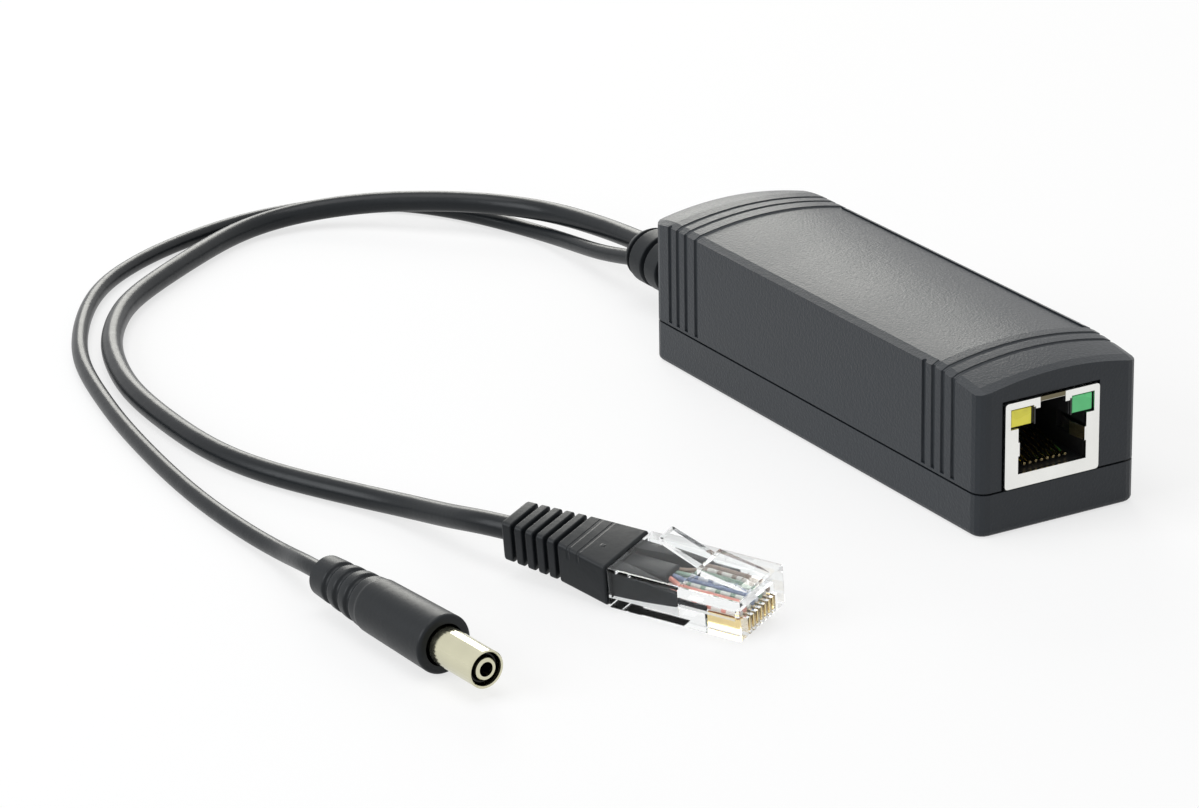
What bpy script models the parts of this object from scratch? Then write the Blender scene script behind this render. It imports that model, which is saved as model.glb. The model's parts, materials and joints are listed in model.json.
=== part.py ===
"""Active PoE adapter, in metres, +Z up.

A long arched housing stands on its flat underside. A shielded network jack looks out of its +X end,
and two leads leave a rubber strain relief at its -X end: one to a network plug, one to a power plug.
The origin is the middle of the housing's underside.
"""

import math

import bmesh
import bpy
from mathutils import Euler, Matrix, Vector

# Clearances
GAP = 0.0003
SLIM_GAP = 0.0001

# Housing shell
HOUSING_LENGTH = 0.0890
HOUSING_WIDTH = 0.0280
CROWN_HEIGHT = 0.0250
ARCH_RISE = 0.0014
STRIP_RISE = 0.0006
STRIP_WIDTH = 0.0012
WALL = 0.0018
BASE_HEIGHT = 0.0065
CORNER_RADIUS = 0.0020
FOOT_FILLET = 0.0008
TONGUE_THICKNESS = 0.0007
TONGUE_HEIGHT = 0.0015
END_BEVEL_LENGTH = 0.0015
END_BEVEL_SLOPE = 0.27
FRONT_DROOP = 0.00115
REAR_DROOP = 0.0005
DROOP_POWER = 1.3

# Ribs and label field of the cover
GROOVE_RADIUS = 0.0005
GROOVE_FOOT_HEIGHT = 0.0072
BELT_LIFT = 0.00022
FRONT_BELT_INSETS = (0.0117, 0.0093, 0.0067)
FRONT_SIDE_INSET = 0.0141
REAR_BELT_INSETS = (0.0126, 0.0097, 0.0073)
REAR_SIDE_INSET = 0.0050
LABEL_DEPTH = 0.00025
LABEL_MARGIN = 0.0001

# Board and its posts
POST_RADIUS = 0.0016
POST_HEIGHT = 0.00285
POST_LENGTH_INSET = 0.0090
POST_SIDE_INSET = 0.0050
BOARD_THICKNESS = 0.0016

# Network jack; heights marked as shares are shares of the jack's height
JACK_OFFSET = -0.00155
JACK_WIDTH = 0.01645
JACK_HEADROOM = 0.00065
JACK_DEPTH = 0.0210
JACK_PROUD = 0.0004
JACK_CORNER = 0.0005
SHEET = 0.0003
MOUTH_LIP_SHARE = 0.1559
MOUTH_WIDTH = 0.0119
MOUTH_SHARE = 0.5475
MOUTH_DEPTH = 0.0135
STEP_WIDTH = 0.0061
STEP_SHARE = 0.1749
NOTCH_WIDTH = 0.0044
NOTCH_SHARE = 0.0684
LAMP_OFFSET = 0.0053
LAMP_WIDTH = 0.0034
LAMP_SHARE = 0.1901
LAMP_DEPTH = 0.0065
SPRING_SHARE = 0.1597
SPRING_CENTRE_SHARE = 0.289
SPRING_REACH = 0.0060
SPRING_BULGE = 0.0006
SPRING_POCKET = 0.0007

# Sprung contacts of the jack, and the network plug's pitch
CONTACT_COUNT = 8
CONTACT_PITCH = 0.00102
JACK_WIRE_DIAMETER = 0.00045
JACK_WIRE_SETBACK = 0.0018
JACK_WIRE_LENGTH = 0.0080
JACK_WIRE_RISE = 0.0018

# Strain relief
RELIEF_AXIS_HEIGHT = 0.0076
RELIEF_LENGTH = 0.0252
RELIEF_RADIUS = 0.0046
RELIEF_OVAL = 1.12
RELIEF_NECK_RADIUS = 0.0036
RELIEF_FLANGE = 0.0010
RELIEF_FLANGE_RADIUS = 0.0045
RELIEF_NOSE_LENGTH = 0.0030
RELIEF_NOSE_RADIUS = 0.0036
RELIEF_SLOT_START = 0.0022
RELIEF_SLOT_PITCH = 0.0046
RELIEF_SLOT_WIDTH = 0.0010
RELIEF_SLOT_DEPTH = 0.0009
RELIEF_SLOTS = 5

# Leads
NETWORK_LEAD_DIAMETER = 0.0035
POWER_LEAD_DIAMETER = 0.0026

# Network plug, in its own frame: +X is its nose, +Z its latch side
PLUG_PLACE = (0.05426, -0.05674, 0.00387)
PLUG_TURN = (7.6, 1.07, 26.1)
PLUG_LENGTH = 0.0215
PLUG_WIDTH = 0.0117
PLUG_HEIGHT = 0.0063
PLUG_EDGE = 0.00025
PLUG_WALL = 0.0011
PLUG_HALL_LENGTH = 0.0110
CORE_DIAMETER = 0.00075
CORE_HALL_HEIGHT = 0.0015
BLADE_THICKNESS = 0.00035
BLADE_LENGTH = 0.0058
BLADE_SETBACK = 0.0005
LATCH_WIDTH = 0.0060
LATCH_LENGTH = 0.0084
LATCH_THICKNESS = 0.0011
LATCH_RISE = 0.0018
TAIL_WIDTH = 0.0035
TAIL_LENGTH = 0.0067
TAIL_RISE = 0.0026
TAIL_THICKNESS = 0.0009

# Boot of the network plug
BOOT_BLOCK_LENGTH = 0.0090
BOOT_LENGTH = 0.0188
BOOT_SHOULDER_WIDTH = 0.0088
BOOT_SHOULDER_HEIGHT = 0.0063
BOOT_SHOULDER_LIFT = 0.00105
BOOT_REAR_WIDTH = 0.0070
BOOT_REAR_HEIGHT = 0.0062
BOOT_REAR_LIFT = 0.0015
BOOT_EDGE = 0.0006
BOOT_SLOT_PITCH = 0.00205
BOOT_SLOT_WIDTH = 0.0008
BOOT_SLOT_DEPTH = 0.0008
BOOT_SLOTS = 5
BOOT_TONGUE_LENGTH = 0.0100
BOOT_TONGUE_HEIGHT = 0.0030
BOOT_TONGUE_TAPER = 0.0008
BOOT_PRONG_GAP = 0.0030

# Power plug, in its own frame: +X is its tip, the origin is its moulding's front face
POWER_PLACE = (0.0440, -0.10075, 0.00437)
POWER_TURN = (0.0, 0.6, 5.1)
MOULDING_LENGTH = 0.0298
MOULDING_FRONT_RADIUS = 0.0043
MOULDING_WAIST_RADIUS = 0.00385
MOULDING_REAR_RADIUS = 0.0030
MOULDING_CHAMFER = 0.0005
MOULDING_SLOT_PITCH = 0.00265
MOULDING_SLOT_WIDTH = 0.0008
MOULDING_SLOT_DEPTH = 0.0006
MOULDING_SLOTS = 3
MOULDING_SHOULDER = 0.0135
MOULDING_BUMP = 0.0002
SLEEVE_RADIUS = 0.00275
SLEEVE_WALL = 0.00035
BARREL_LENGTH = 0.0099
BARREL_ROOT = 0.0035
INSULATOR_SETBACK = 0.0009
PIN_HOLE_RADIUS = 0.00105
PIN_WALL = 0.00055
PIN_SETBACK = 0.0001

# Parts on the board. Sizes and places are shares: along, of the way from the board's rear to the jack;
# across, of the board's width from its middle; upwards, of the room under the cover. A can's radius is
# a share along.
TRANSFORMER_SIZE = (0.195, 0.40, 0.40)
TRANSFORMER_PLACE = (0.872, -0.23)
BRIDGE_SIZE = (0.072, 0.17, 0.17)
BRIDGE_PLACES = ((0.932, 0.27), (0.818, 0.27))
CONTROLLER_SIZE = (0.152, 0.165, 0.10)
CONTROLLER_PLACE = (0.666, 0.36)
SWITCH_SIZE = (0.10, 0.255, 0.15)
SWITCH_PLACE = (0.297, 0.315)
DIODE_SIZE = (0.106, 0.25, 0.15)
DIODE_PLACE = (0.166, 0.315)
OPTOCOUPLER_SIZE = (0.07, 0.148, 0.23)
OPTOCOUPLER_PLACE = (0.489, 0.39)
INPUT_CAPACITOR_SIZE = (0.0615, 0.76)
INPUT_CAPACITOR_PLACE = (0.681, -0.21)
OUTPUT_CAPACITOR_SIZE = (0.0615, 0.79)
OUTPUT_CAPACITOR_PLACE = (0.266, -0.23)
INDUCTOR_SIZE = (0.0585, 0.40)
INDUCTOR_PLACE = (0.112, -0.23)
FLYBACK_SIZE = (0.20, 0.25, 0.72)
FLYBACK_LEG = 0.0030
FLYBACK_SIDE_LEG = 0.0018
BOBBIN_OVERHANG = 0.0022
FLYBACK_PLACE = (0.489, -0.085)

# Where the leads lie: points along each one's middle, from the strain relief to its plug
NETWORK_ROUTE = (
    (-0.0781, 0.0022, 0.0069), (-0.0841, 0.0021, 0.0065), (-0.0937, 0.0011, 0.0059),
    (-0.1020, -0.0006, 0.00535), (-0.1091, -0.0050, 0.00525), (-0.1144, -0.0099, 0.0052),
    (-0.1190, -0.0150, 0.0049), (-0.1240, -0.0201, 0.0043), (-0.1275, -0.0253, 0.0036),
    (-0.1301, -0.0306, 0.0029), (-0.1312, -0.0364, 0.0023), (-0.1304, -0.0423, 0.0019),
    (-0.1277, -0.0482, 0.00175), (-0.1237, -0.0545, 0.00175), (-0.1193, -0.0609, 0.00175),
    (-0.1130, -0.0695, 0.00175), (-0.1059, -0.0771, 0.00175), (-0.0932, -0.0852, 0.00175),
    (-0.0789, -0.0902, 0.00175), (-0.0655, -0.0924, 0.00175), (-0.0447, -0.0926, 0.00175),
    (-0.0301, -0.0894, 0.00175), (-0.0127, -0.0818, 0.0020), (-0.0062, -0.0796, 0.0026),
    (0.0017, -0.0784, 0.0038), (0.0080, -0.0779, 0.0051),
)
POWER_ROUTE = (
    (-0.0790, -0.0020, 0.0047), (-0.0841, -0.0018, 0.00385), (-0.0895, -0.0014, 0.00305),
    (-0.0949, -0.0011, 0.0023), (-0.1001, -0.0012, 0.0017), (-0.1074, -0.0025, 0.0013),
    (-0.1156, -0.0054, 0.0013), (-0.1230, -0.0091, 0.0013), (-0.1298, -0.0144, 0.0013),
    (-0.1342, -0.0219, 0.0013), (-0.1360, -0.0331, 0.0013), (-0.1345, -0.0455, 0.0013),
    (-0.1276, -0.0628, 0.0013), (-0.1155, -0.0776, 0.0013), (-0.0930, -0.0908, 0.0013),
    (-0.0685, -0.0973, 0.0013), (-0.0460, -0.1007, 0.0013), (-0.0269, -0.1022, 0.0013),
    (-0.0108, -0.1023, 0.0016), (-0.0011, -0.1021, 0.0022), (0.0048, -0.1029, 0.0034),
)
LEAD_PITCH = 2.2
LEAD_SPREAD = 0.0019

# Sizes that follow from those above
HALF_LENGTH = HOUSING_LENGTH / 2
HALF_WIDTH = HOUSING_WIDTH / 2
ARCH_FOOT = HALF_WIDTH - STRIP_WIDTH
ARCH_RADIUS = (ARCH_FOOT ** 2 + ARCH_RISE ** 2) / (2 * ARCH_RISE)
FRONT_BELTS = tuple(HALF_LENGTH - inset for inset in FRONT_BELT_INSETS)
FRONT_SIDE_GROOVE = HALF_LENGTH - FRONT_SIDE_INSET
REAR_BELTS = tuple(inset - HALF_LENGTH for inset in REAR_BELT_INSETS)
REAR_SIDE_GROOVE = REAR_SIDE_INSET - HALF_LENGTH
COVER_FOOT = BASE_HEIGHT + GAP
BOARD_FOOT = WALL + POST_HEIGHT + GAP
BOARD_TOP = BOARD_FOOT + BOARD_THICKNESS
BOARD_REAR = -HALF_LENGTH + WALL + RELIEF_FLANGE + 2 * GAP
BOARD_FRONT = HALF_LENGTH - WALL - GAP
BOARD_WIDTH = HOUSING_WIDTH - 2 * (WALL + GAP)
JACK_FRONT = HALF_LENGTH + JACK_PROUD
JACK_FOOT = BOARD_TOP + GAP
JACK_HEIGHT = CROWN_HEIGHT - WALL - ARCH_RISE - FRONT_DROOP - JACK_HEADROOM - JACK_FOOT
MOUTH_FLOOR = JACK_FOOT + MOUTH_LIP_SHARE * JACK_HEIGHT
MOUTH_TOP = MOUTH_FLOOR + MOUTH_SHARE * JACK_HEIGHT
LAMP_HEIGHT = LAMP_SHARE * JACK_HEIGHT
SPRING_HEIGHT = SPRING_SHARE * JACK_HEIGHT
SPRING_FOOT = MOUTH_FLOOR + SPRING_CENTRE_SHARE * JACK_HEIGHT - SPRING_HEIGHT / 2
PARTS_RUN = JACK_FRONT - JACK_DEPTH - BOARD_REAR
PARTS_ROOM = CROWN_HEIGHT - ARCH_RISE - WALL - BOARD_TOP
PLUG_HALF_WIDTH = PLUG_WIDTH / 2
PLUG_HALF_HEIGHT = PLUG_HEIGHT / 2
BOOT_FRONT = -PLUG_LENGTH - GAP
BOOT_REAR = BOOT_FRONT - BOOT_LENGTH


# The scene's collections and materials

def clear_scene():
    """Remove whatever the file holds, so that the model starts from nothing."""
    for thing in list(bpy.data.objects):
        bpy.data.objects.remove(thing)


def collection_named(name):
    """A collection in the scene's root."""
    collection = bpy.data.collections.new(name)
    bpy.context.scene.collection.children.link(collection)
    return collection


def material(name, colour, roughness, metallic=0.0, alpha=1.0):
    """A Principled material with the part's colour, roughness and metallic value."""
    result = bpy.data.materials.new(name)
    result.use_nodes = True
    shader = result.node_tree.nodes["Principled BSDF"]
    shader.inputs["Base Color"].default_value = (*colour, 1.0)
    shader.inputs["Roughness"].default_value = roughness
    shader.inputs["Metallic"].default_value = metallic
    shader.inputs["Alpha"].default_value = alpha
    return result


clear_scene()
PARTS = collection_named("active_poe_adapter")
CUTTERS = collection_named("cutters")


# Modelling helpers

def new_object(name, data, frame=None):
    """An object in the cutters' collection, in the housing's frame or that of an empty."""
    result = bpy.data.objects.new(name, data)
    CUTTERS.objects.link(result)
    result.parent = frame
    result.hide_render = True
    result.display_type = "WIRE"
    return result


def finish(thing, name, look, smooth_angle=0.0):
    """Turn a shape into a part: its name, its material and its shading."""
    CUTTERS.objects.unlink(thing)
    PARTS.objects.link(thing)
    thing.hide_render = False
    thing.display_type = "TEXTURED"
    thing.name = name
    thing.data.materials.clear()
    thing.data.materials.append(look)
    if smooth_angle:
        thing.data.shade_smooth()
        thing.data.set_sharp_from_angle(angle=math.radians(smooth_angle))
    return thing


def solid_from(shape, keep_frame=None):
    """Make a curve, or an object with modifiers, a plain mesh with its caps welded."""
    bpy.context.view_layer.update()
    evaluated = shape.evaluated_get(bpy.context.evaluated_depsgraph_get())
    mesh = bpy.data.meshes.new_from_object(evaluated)
    body = bmesh.new()
    body.from_mesh(mesh)
    bmesh.ops.remove_doubles(body, verts=body.verts, dist=0.000001)
    bmesh.ops.recalc_face_normals(body, faces=body.faces)
    body.to_mesh(mesh)
    body.free()
    result = new_object(shape.name, mesh, keep_frame)
    if keep_frame is None:
        result.matrix_world = shape.matrix_world
    bpy.data.objects.remove(shape)
    return result


def plate(outline, low, high, axis="Z", frame=None):
    """A flat outline with thickness: (x, y) along Z, (y, z) along X, or (x, z) along Y."""
    curve = bpy.data.curves.new("outline", "CURVE")
    curve.dimensions = "2D"
    curve.fill_mode = "BOTH"
    curve.extrude = (high - low) / 2
    spline = curve.splines.new("POLY")
    spline.points.add(len(outline) - 1)
    for point, (u, v) in zip(spline.points, outline):
        point.co = (u, v, 0.0, 1.0)
    spline.use_cyclic_u = True
    shape = new_object("plate", curve)
    middle = (low + high) / 2
    if axis == "Z":
        turn = Matrix.Translation((0, 0, middle))
    elif axis == "X":
        turn = Matrix(((0, 0, 1, middle), (1, 0, 0, 0), (0, 1, 0, 0), (0, 0, 0, 1)))
    else:
        turn = Matrix(((1, 0, 0, 0), (0, 0, -1, middle), (0, 1, 0, 0), (0, 0, 0, 1)))
    result = solid_from(shape)
    result.data.transform(turn)
    result.parent = frame
    return result


def block(low, high, bevel=0.0, frame=None, bevel_steps=2):
    """A box between two corners, with its edges rounded if asked."""
    body = bmesh.new()
    bmesh.ops.create_cube(body, size=1.0)
    size = Vector(high) - Vector(low)
    bmesh.ops.scale(body, vec=size, verts=body.verts)
    bmesh.ops.translate(body, vec=(Vector(high) + Vector(low)) / 2, verts=body.verts)
    if bevel:
        bmesh.ops.bevel(body, geom=body.edges[:], offset=bevel, segments=bevel_steps,
                        profile=0.5, affect="EDGES")
    mesh = bpy.data.meshes.new("block")
    body.to_mesh(mesh)
    body.free()
    return new_object("block", mesh, frame)


def turned(profile, steps=32, frame=None, oval=1.0):
    """A body of revolution about the X axis; the profile is (x, radius), closed or ending on the axis."""
    mesh = bpy.data.meshes.new("turned")
    edges = [(i, i + 1) for i in range(len(profile) - 1)]
    if profile[0] == profile[-1]:
        profile = profile[:-1]
        edges[-1] = (len(profile) - 1, 0)
    mesh.from_pydata([(x, radius, 0.0) for x, radius in profile], edges, [])
    shape = new_object("turned", mesh)
    screw = shape.modifiers.new("turn", "SCREW")
    screw.axis = "X"
    screw.steps = steps
    screw.render_steps = steps
    screw.use_merge_vertices = True
    screw.merge_threshold = 0.000001
    result = solid_from(shape)
    result.data.transform(Matrix.Diagonal((1.0, oval, 1.0, 1.0)))
    result.parent = frame
    return result


def upright(profile, place, steps=28):
    """A body of revolution that stands up at a place; the profile is (height, radius)."""
    result = turned(profile, steps)
    result.data.transform(Matrix.Rotation(math.radians(-90), 4, "Y"))
    result.data.transform(Matrix.Translation(place))
    return result


def tube(points, radius, resolution=2, frame=None):
    """A round bar through points, with flat ends."""
    curve = bpy.data.curves.new("tube", "CURVE")
    curve.dimensions = "3D"
    curve.bevel_depth = radius
    curve.bevel_resolution = resolution
    curve.use_fill_caps = True
    spline = curve.splines.new("POLY")
    spline.points.add(len(points) - 1)
    for point, place in zip(spline.points, points):
        point.co = (*place, 1.0)
    result = solid_from(new_object("tube", curve))
    result.parent = frame
    return result


def strip(points, low, high, thickness, frame=None):
    """A bent leaf of sheet: a line of (x, y) points raised from low to high, given its thickness."""
    mesh = bpy.data.meshes.new("strip")
    rows = [(x, y, z) for z in (low, high) for x, y in points]
    count = len(points)
    faces = [(i, i + 1, i + 1 + count, i + count) for i in range(count - 1)]
    mesh.from_pydata(rows, [], faces)
    shape = new_object("strip", mesh)
    skin = shape.modifiers.new("thickness", "SOLIDIFY")
    skin.thickness = thickness
    skin.offset = 0.0
    skin.use_even_offset = True
    result = solid_from(shape)
    result.parent = frame
    return result


def swept(section, path):
    """A closed (sideways, up) section carried along a path of (x, z) points."""
    profile = bpy.data.curves.new("section", "CURVE")
    profile.dimensions = "2D"
    ring = profile.splines.new("POLY")
    ring.points.add(len(section) - 1)
    for point, (side, up) in zip(ring.points, section):
        point.co = (side, up, 0.0, 1.0)
    ring.use_cyclic_u = True
    guide = new_object("section", profile)
    rail = bpy.data.curves.new("rail", "CURVE")
    rail.dimensions = "3D"
    rail.twist_mode = "Z_UP"
    rail.bevel_mode = "OBJECT"
    rail.bevel_object = guide
    rail.use_fill_caps = True
    spline = rail.splines.new("POLY")
    spline.points.add(len(path) - 1)
    for point, (x, z) in zip(spline.points, path):
        point.co = (x, 0.0, z, 1.0)
    result = solid_from(new_object("swept", rail))
    bpy.data.objects.remove(guide)
    return result


def combine(target, other, operation):
    """One Boolean step on the target."""
    step = target.modifiers.new(operation.lower(), "BOOLEAN")
    step.operation = operation
    step.solver = "EXACT"
    step.object = other


def cut(target, *cutters):
    """Take shapes away from the target."""
    for cutter in cutters:
        combine(target, cutter, "DIFFERENCE")


def join(target, *others):
    """Make other shapes one body with the target."""
    for other in others:
        combine(target, other, "UNION")


def arc(centre, radius, start, end, steps):
    """Points on an arc, angles in degrees."""
    points = []
    for i in range(steps + 1):
        angle = math.radians(start + (end - start) * i / steps)
        points.append((centre[0] + radius * math.cos(angle), centre[1] + radius * math.sin(angle)))
    return points


def rounded_rectangle(low, high, radius, steps=4):
    """An outline with four round corners, run anticlockwise."""
    x0, y0 = low[0] + radius, low[1] + radius
    x1, y1 = high[0] - radius, high[1] - radius
    return (arc((x1, y0), radius, -90, 0, steps) + arc((x1, y1), radius, 0, 90, steps)
            + arc((x0, y1), radius, 90, 180, steps) + arc((x0, y0), radius, 180, 270, steps))


def numbered(name, count):
    """The names of a row of like pieces."""
    return [f"{name}_{i + 1}" for i in range(count)]


def row_offsets():
    """The sideways places of the contacts, centred on the jack's or plug's middle."""
    return [CONTACT_PITCH * (i - (CONTACT_COUNT - 1) / 2) for i in range(CONTACT_COUNT)]


# Housing

def droop(x):
    """How far the cover's crown has sunk at x: nothing over the label, more towards both ends."""
    if x > FRONT_BELTS[0]:
        start, end, depth = FRONT_BELTS[0], HALF_LENGTH - END_BEVEL_LENGTH, FRONT_DROOP
    elif x < REAR_SIDE_GROOVE:
        start, end, depth = REAR_SIDE_GROOVE, -HALF_LENGTH + END_BEVEL_LENGTH, REAR_DROOP
    else:
        return 0.0
    share = (x - start) / (end - start)
    sunk = depth * min(share, 1.0) ** DROOP_POWER
    if share > 1.0:
        sunk += END_BEVEL_SLOPE * abs(x - end)
    return sunk


def arch_line(inset, steps):
    """The arch from its -Y foot to its +Y foot as (y, height below the crown)."""
    foot = ARCH_FOOT - inset
    ys = [foot * (2 * i / steps - 1) for i in range(steps + 1)]
    return [(y, math.sqrt(ARCH_RADIUS ** 2 - y ** 2) - ARCH_RADIUS) for y in ys]


def sky_section(inset, steps):
    """The closed section of what lies above the arch and above the strip beside each of its feet."""
    arch = arch_line(inset, steps)
    side = HALF_WIDTH + STRIP_WIDTH - inset
    side_top = arch[0][1] - 2 * STRIP_RISE
    above = 3 * WALL
    return [(-side, above), (-side, side_top)] + arch + [(side, side_top), (side, above)]


def plan(inset):
    """The housing's outline from above, moved in by an inset."""
    radius = max(CORNER_RADIUS - inset, 0.0004)
    return rounded_rectangle((-HALF_LENGTH + inset, -HALF_WIDTH + inset),
                             (HALF_LENGTH - inset, HALF_WIDTH - inset), radius)


def crown_path(inset, stops):
    """The line of the crown from end to end, carried past both ends."""
    reach = HALF_LENGTH + 2 * END_BEVEL_LENGTH
    front = FRONT_BELTS[0]
    rear = REAR_SIDE_GROOVE
    xs = [-reach, -HALF_LENGTH + END_BEVEL_LENGTH]
    xs += [rear + (-HALF_LENGTH + END_BEVEL_LENGTH - rear) * i / stops for i in range(stops - 1, -1, -1)]
    xs += [front + (HALF_LENGTH - END_BEVEL_LENGTH - front) * i / stops for i in range(stops + 1)]
    xs.append(reach)
    return [(x, CROWN_HEIGHT - inset - droop(x)) for x in xs]


def crown_block(inset, foot, steps, stops):
    """The cover's outer form, or its hollow: the plan outline, cut off along the drooping arch."""
    result = plate(plan(inset), foot, CROWN_HEIGHT + WALL)
    cut(result, swept(sky_section(inset, steps), crown_path(inset, stops)))
    return solid_from(result)


def belt_groove(x):
    """A cutter for a rib that climbs one side, crosses the arch and runs down the other."""
    sunk = droop(x)
    crown = CROWN_HEIGHT - sunk
    arch = [(x, y, crown + z + BELT_LIFT) for y, z in arch_line(0.0, 12)]
    side_top = arch[0][2] - STRIP_RISE
    points = [(x, -HALF_WIDTH, GROOVE_FOOT_HEIGHT), (x, -HALF_WIDTH, side_top)] + arch
    points += [(x, HALF_WIDTH, side_top), (x, HALF_WIDTH, GROOVE_FOOT_HEIGHT)]
    return tube(points, GROOVE_RADIUS)


def side_groove(x, side):
    """A cutter for a groove on one side only."""
    top = CROWN_HEIGHT - ARCH_RISE - droop(x)
    return tube([(x, side, GROOVE_FOOT_HEIGHT), (x, side, top)], GROOVE_RADIUS)


def label_field():
    """A cutter that sinks the label field between the innermost belts, along the arch."""
    edge = ARCH_FOOT - LABEL_MARGIN
    floor = [(y, CROWN_HEIGHT + z - LABEL_DEPTH) for y, z in arch_line(LABEL_MARGIN, 16)]
    above = CROWN_HEIGHT + WALL
    return plate([(edge, above), (-edge, above)] + floor, REAR_BELTS[0], FRONT_BELTS[0], "X")


def jack_opening():
    """A cutter for the jack's way out through the front walls of both shells."""
    low = JACK_OFFSET - JACK_WIDTH / 2 - GAP
    high = JACK_OFFSET + JACK_WIDTH / 2 + GAP
    return block((HALF_LENGTH - 2 * WALL, low, JACK_FOOT - GAP),
                 (HALF_LENGTH + WALL, high, JACK_FOOT + JACK_HEIGHT + GAP))


def relief_opening():
    """A cutter for the strain relief's neck through the rear walls of both shells."""
    radius = RELIEF_NECK_RADIUS + GAP
    hole = turned([(-HALF_LENGTH - WALL, 0.0), (-HALF_LENGTH - WALL, radius),
                   (-HALF_LENGTH + 2 * WALL, radius), (-HALF_LENGTH + 2 * WALL, 0.0)],
                  oval=RELIEF_OVAL)
    hole.data.transform(Matrix.Translation((0, 0, RELIEF_AXIS_HEIGHT)))
    return hole


def top_cover():
    """The moulded cover: an arched shell with a rebate for the base's tongue, belts and label field."""
    cover = crown_block(0.0, COVER_FOOT, 20, 6)
    cut(cover, crown_block(WALL, COVER_FOOT - WALL, 10, 3))
    rebate = WALL - TONGUE_THICKNESS - GAP
    cut(cover, plate(plan(rebate), COVER_FOOT - WALL, BASE_HEIGHT + TONGUE_HEIGHT + GAP))
    cut(cover, jack_opening(), relief_opening(), label_field())
    for x in FRONT_BELTS + REAR_BELTS:
        cut(cover, belt_groove(x))
    for x in (FRONT_SIDE_GROOVE, REAR_SIDE_GROOVE):
        cut(cover, side_groove(x, -HALF_WIDTH), side_groove(x, HALF_WIDTH))
    return finish(cover, "top_cover", HOUSING_PLASTIC, 30)


def base_post(x, y):
    """A post that carries the board, rooted in the base's floor."""
    top = WALL + POST_HEIGHT
    return upright([(WALL / 2, 0.0), (WALL / 2, POST_RADIUS), (top, POST_RADIUS), (top, 0.0)],
                   (x, y, 0.0), 16)


def bottom_base():
    """The tray: a floor with a rounded foot, walls with a tongue, and four posts for the board."""
    base = plate(plan(0.0), 0.0, BASE_HEIGHT)
    body = bmesh.new()
    body.from_mesh(base.data)
    bmesh.ops.dissolve_limit(body, angle_limit=0.01, verts=body.verts, edges=body.edges)
    foot = [edge for edge in body.edges if all(vertex.co.z < WALL / 2 for vertex in edge.verts)]
    bmesh.ops.bevel(body, geom=foot, offset=FOOT_FILLET, segments=3, profile=0.5, affect="EDGES")
    body.to_mesh(base.data)
    body.free()
    join(base, plate(plan(WALL - TONGUE_THICKNESS), WALL, BASE_HEIGHT + TONGUE_HEIGHT))
    cut(base, plate(plan(WALL), WALL, CROWN_HEIGHT))
    cut(base, jack_opening(), relief_opening())
    x = HALF_LENGTH - POST_LENGTH_INSET
    y = HALF_WIDTH - POST_SIDE_INSET
    for side_x in (-x, x):
        for side_y in (-y, y):
            join(base, base_post(side_x, side_y))
    return finish(base, "bottom_base", HOUSING_PLASTIC, 30)


# Jack

def jack_rectangle(inset, radius):
    """The jack's outline seen from the front, moved in by an inset."""
    low = (JACK_OFFSET - JACK_WIDTH / 2 + inset, JACK_FOOT + inset)
    high = (JACK_OFFSET + JACK_WIDTH / 2 - inset, JACK_FOOT + JACK_HEIGHT - inset)
    return rounded_rectangle(low, high, radius, 3)


def mouth_outline():
    """The mouth seen from the front: a wide hall with a step and the latch's notch above it."""
    rows = ((MOUTH_WIDTH, MOUTH_SHARE), (STEP_WIDTH, STEP_SHARE), (NOTCH_WIDTH, NOTCH_SHARE))
    right = []
    floor = MOUTH_FLOOR
    for width, share in rows:
        top = floor + share * JACK_HEIGHT
        right += [(width / 2, floor), (width / 2, top)]
        floor = top
    outline = right + [(-y, z) for y, z in reversed(right)]
    return [(JACK_OFFSET + y, z) for y, z in outline]


def lamp_box(side, grow, rear):
    """The box of one indicator, or of its slot, which is open to the mouth's corner below it."""
    middle = JACK_OFFSET + side * LAMP_OFFSET
    low = MOUTH_TOP + SLIM_GAP - grow
    top = MOUTH_TOP + SLIM_GAP + LAMP_HEIGHT + grow
    return block((rear, middle - LAMP_WIDTH / 2 - grow, low),
                 (JACK_FRONT - SHEET + 4 * grow, middle + LAMP_WIDTH / 2 + grow, top))


def side_spring(side):
    """A leaf folded back from the window's edge: it bulges into the mouth and returns to its wall."""
    edge = MOUTH_WIDTH / 2
    front = JACK_FRONT - SHEET / 2
    line = [(front, edge + 2 * SHEET), (front, edge - SHEET / 2),
            (front - SPRING_REACH / 2, edge - SPRING_BULGE), (front - SPRING_REACH, edge + SHEET / 2)]
    points = [(x, JACK_OFFSET + side * y) for x, y in line]
    return strip(points, SPRING_FOOT, SPRING_FOOT + SPRING_HEIGHT, SHEET - SLIM_GAP / 2)


def jack_shield():
    """The folded shield: closed sides and back, and a front with the mouth and both lamp windows."""
    shield = plate(jack_rectangle(0.0, JACK_CORNER), JACK_FRONT - JACK_DEPTH, JACK_FRONT, "X")
    hollow = plate(jack_rectangle(SHEET, JACK_CORNER - SHEET / 2),
                   JACK_FRONT - JACK_DEPTH + SHEET, JACK_FRONT - SHEET, "X")
    cut(shield, hollow)
    cut(shield, plate(mouth_outline(), JACK_FRONT - 3 * SHEET, JACK_FRONT + SHEET, "X"))
    for side in (-1, 1):
        cut(shield, lamp_box(side, GAP, JACK_FRONT - 3 * SHEET))
    for side in (-1, 1):
        join(shield, side_spring(side))
    return finish(shield, "jack_shield", NICKEL, 30)


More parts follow.
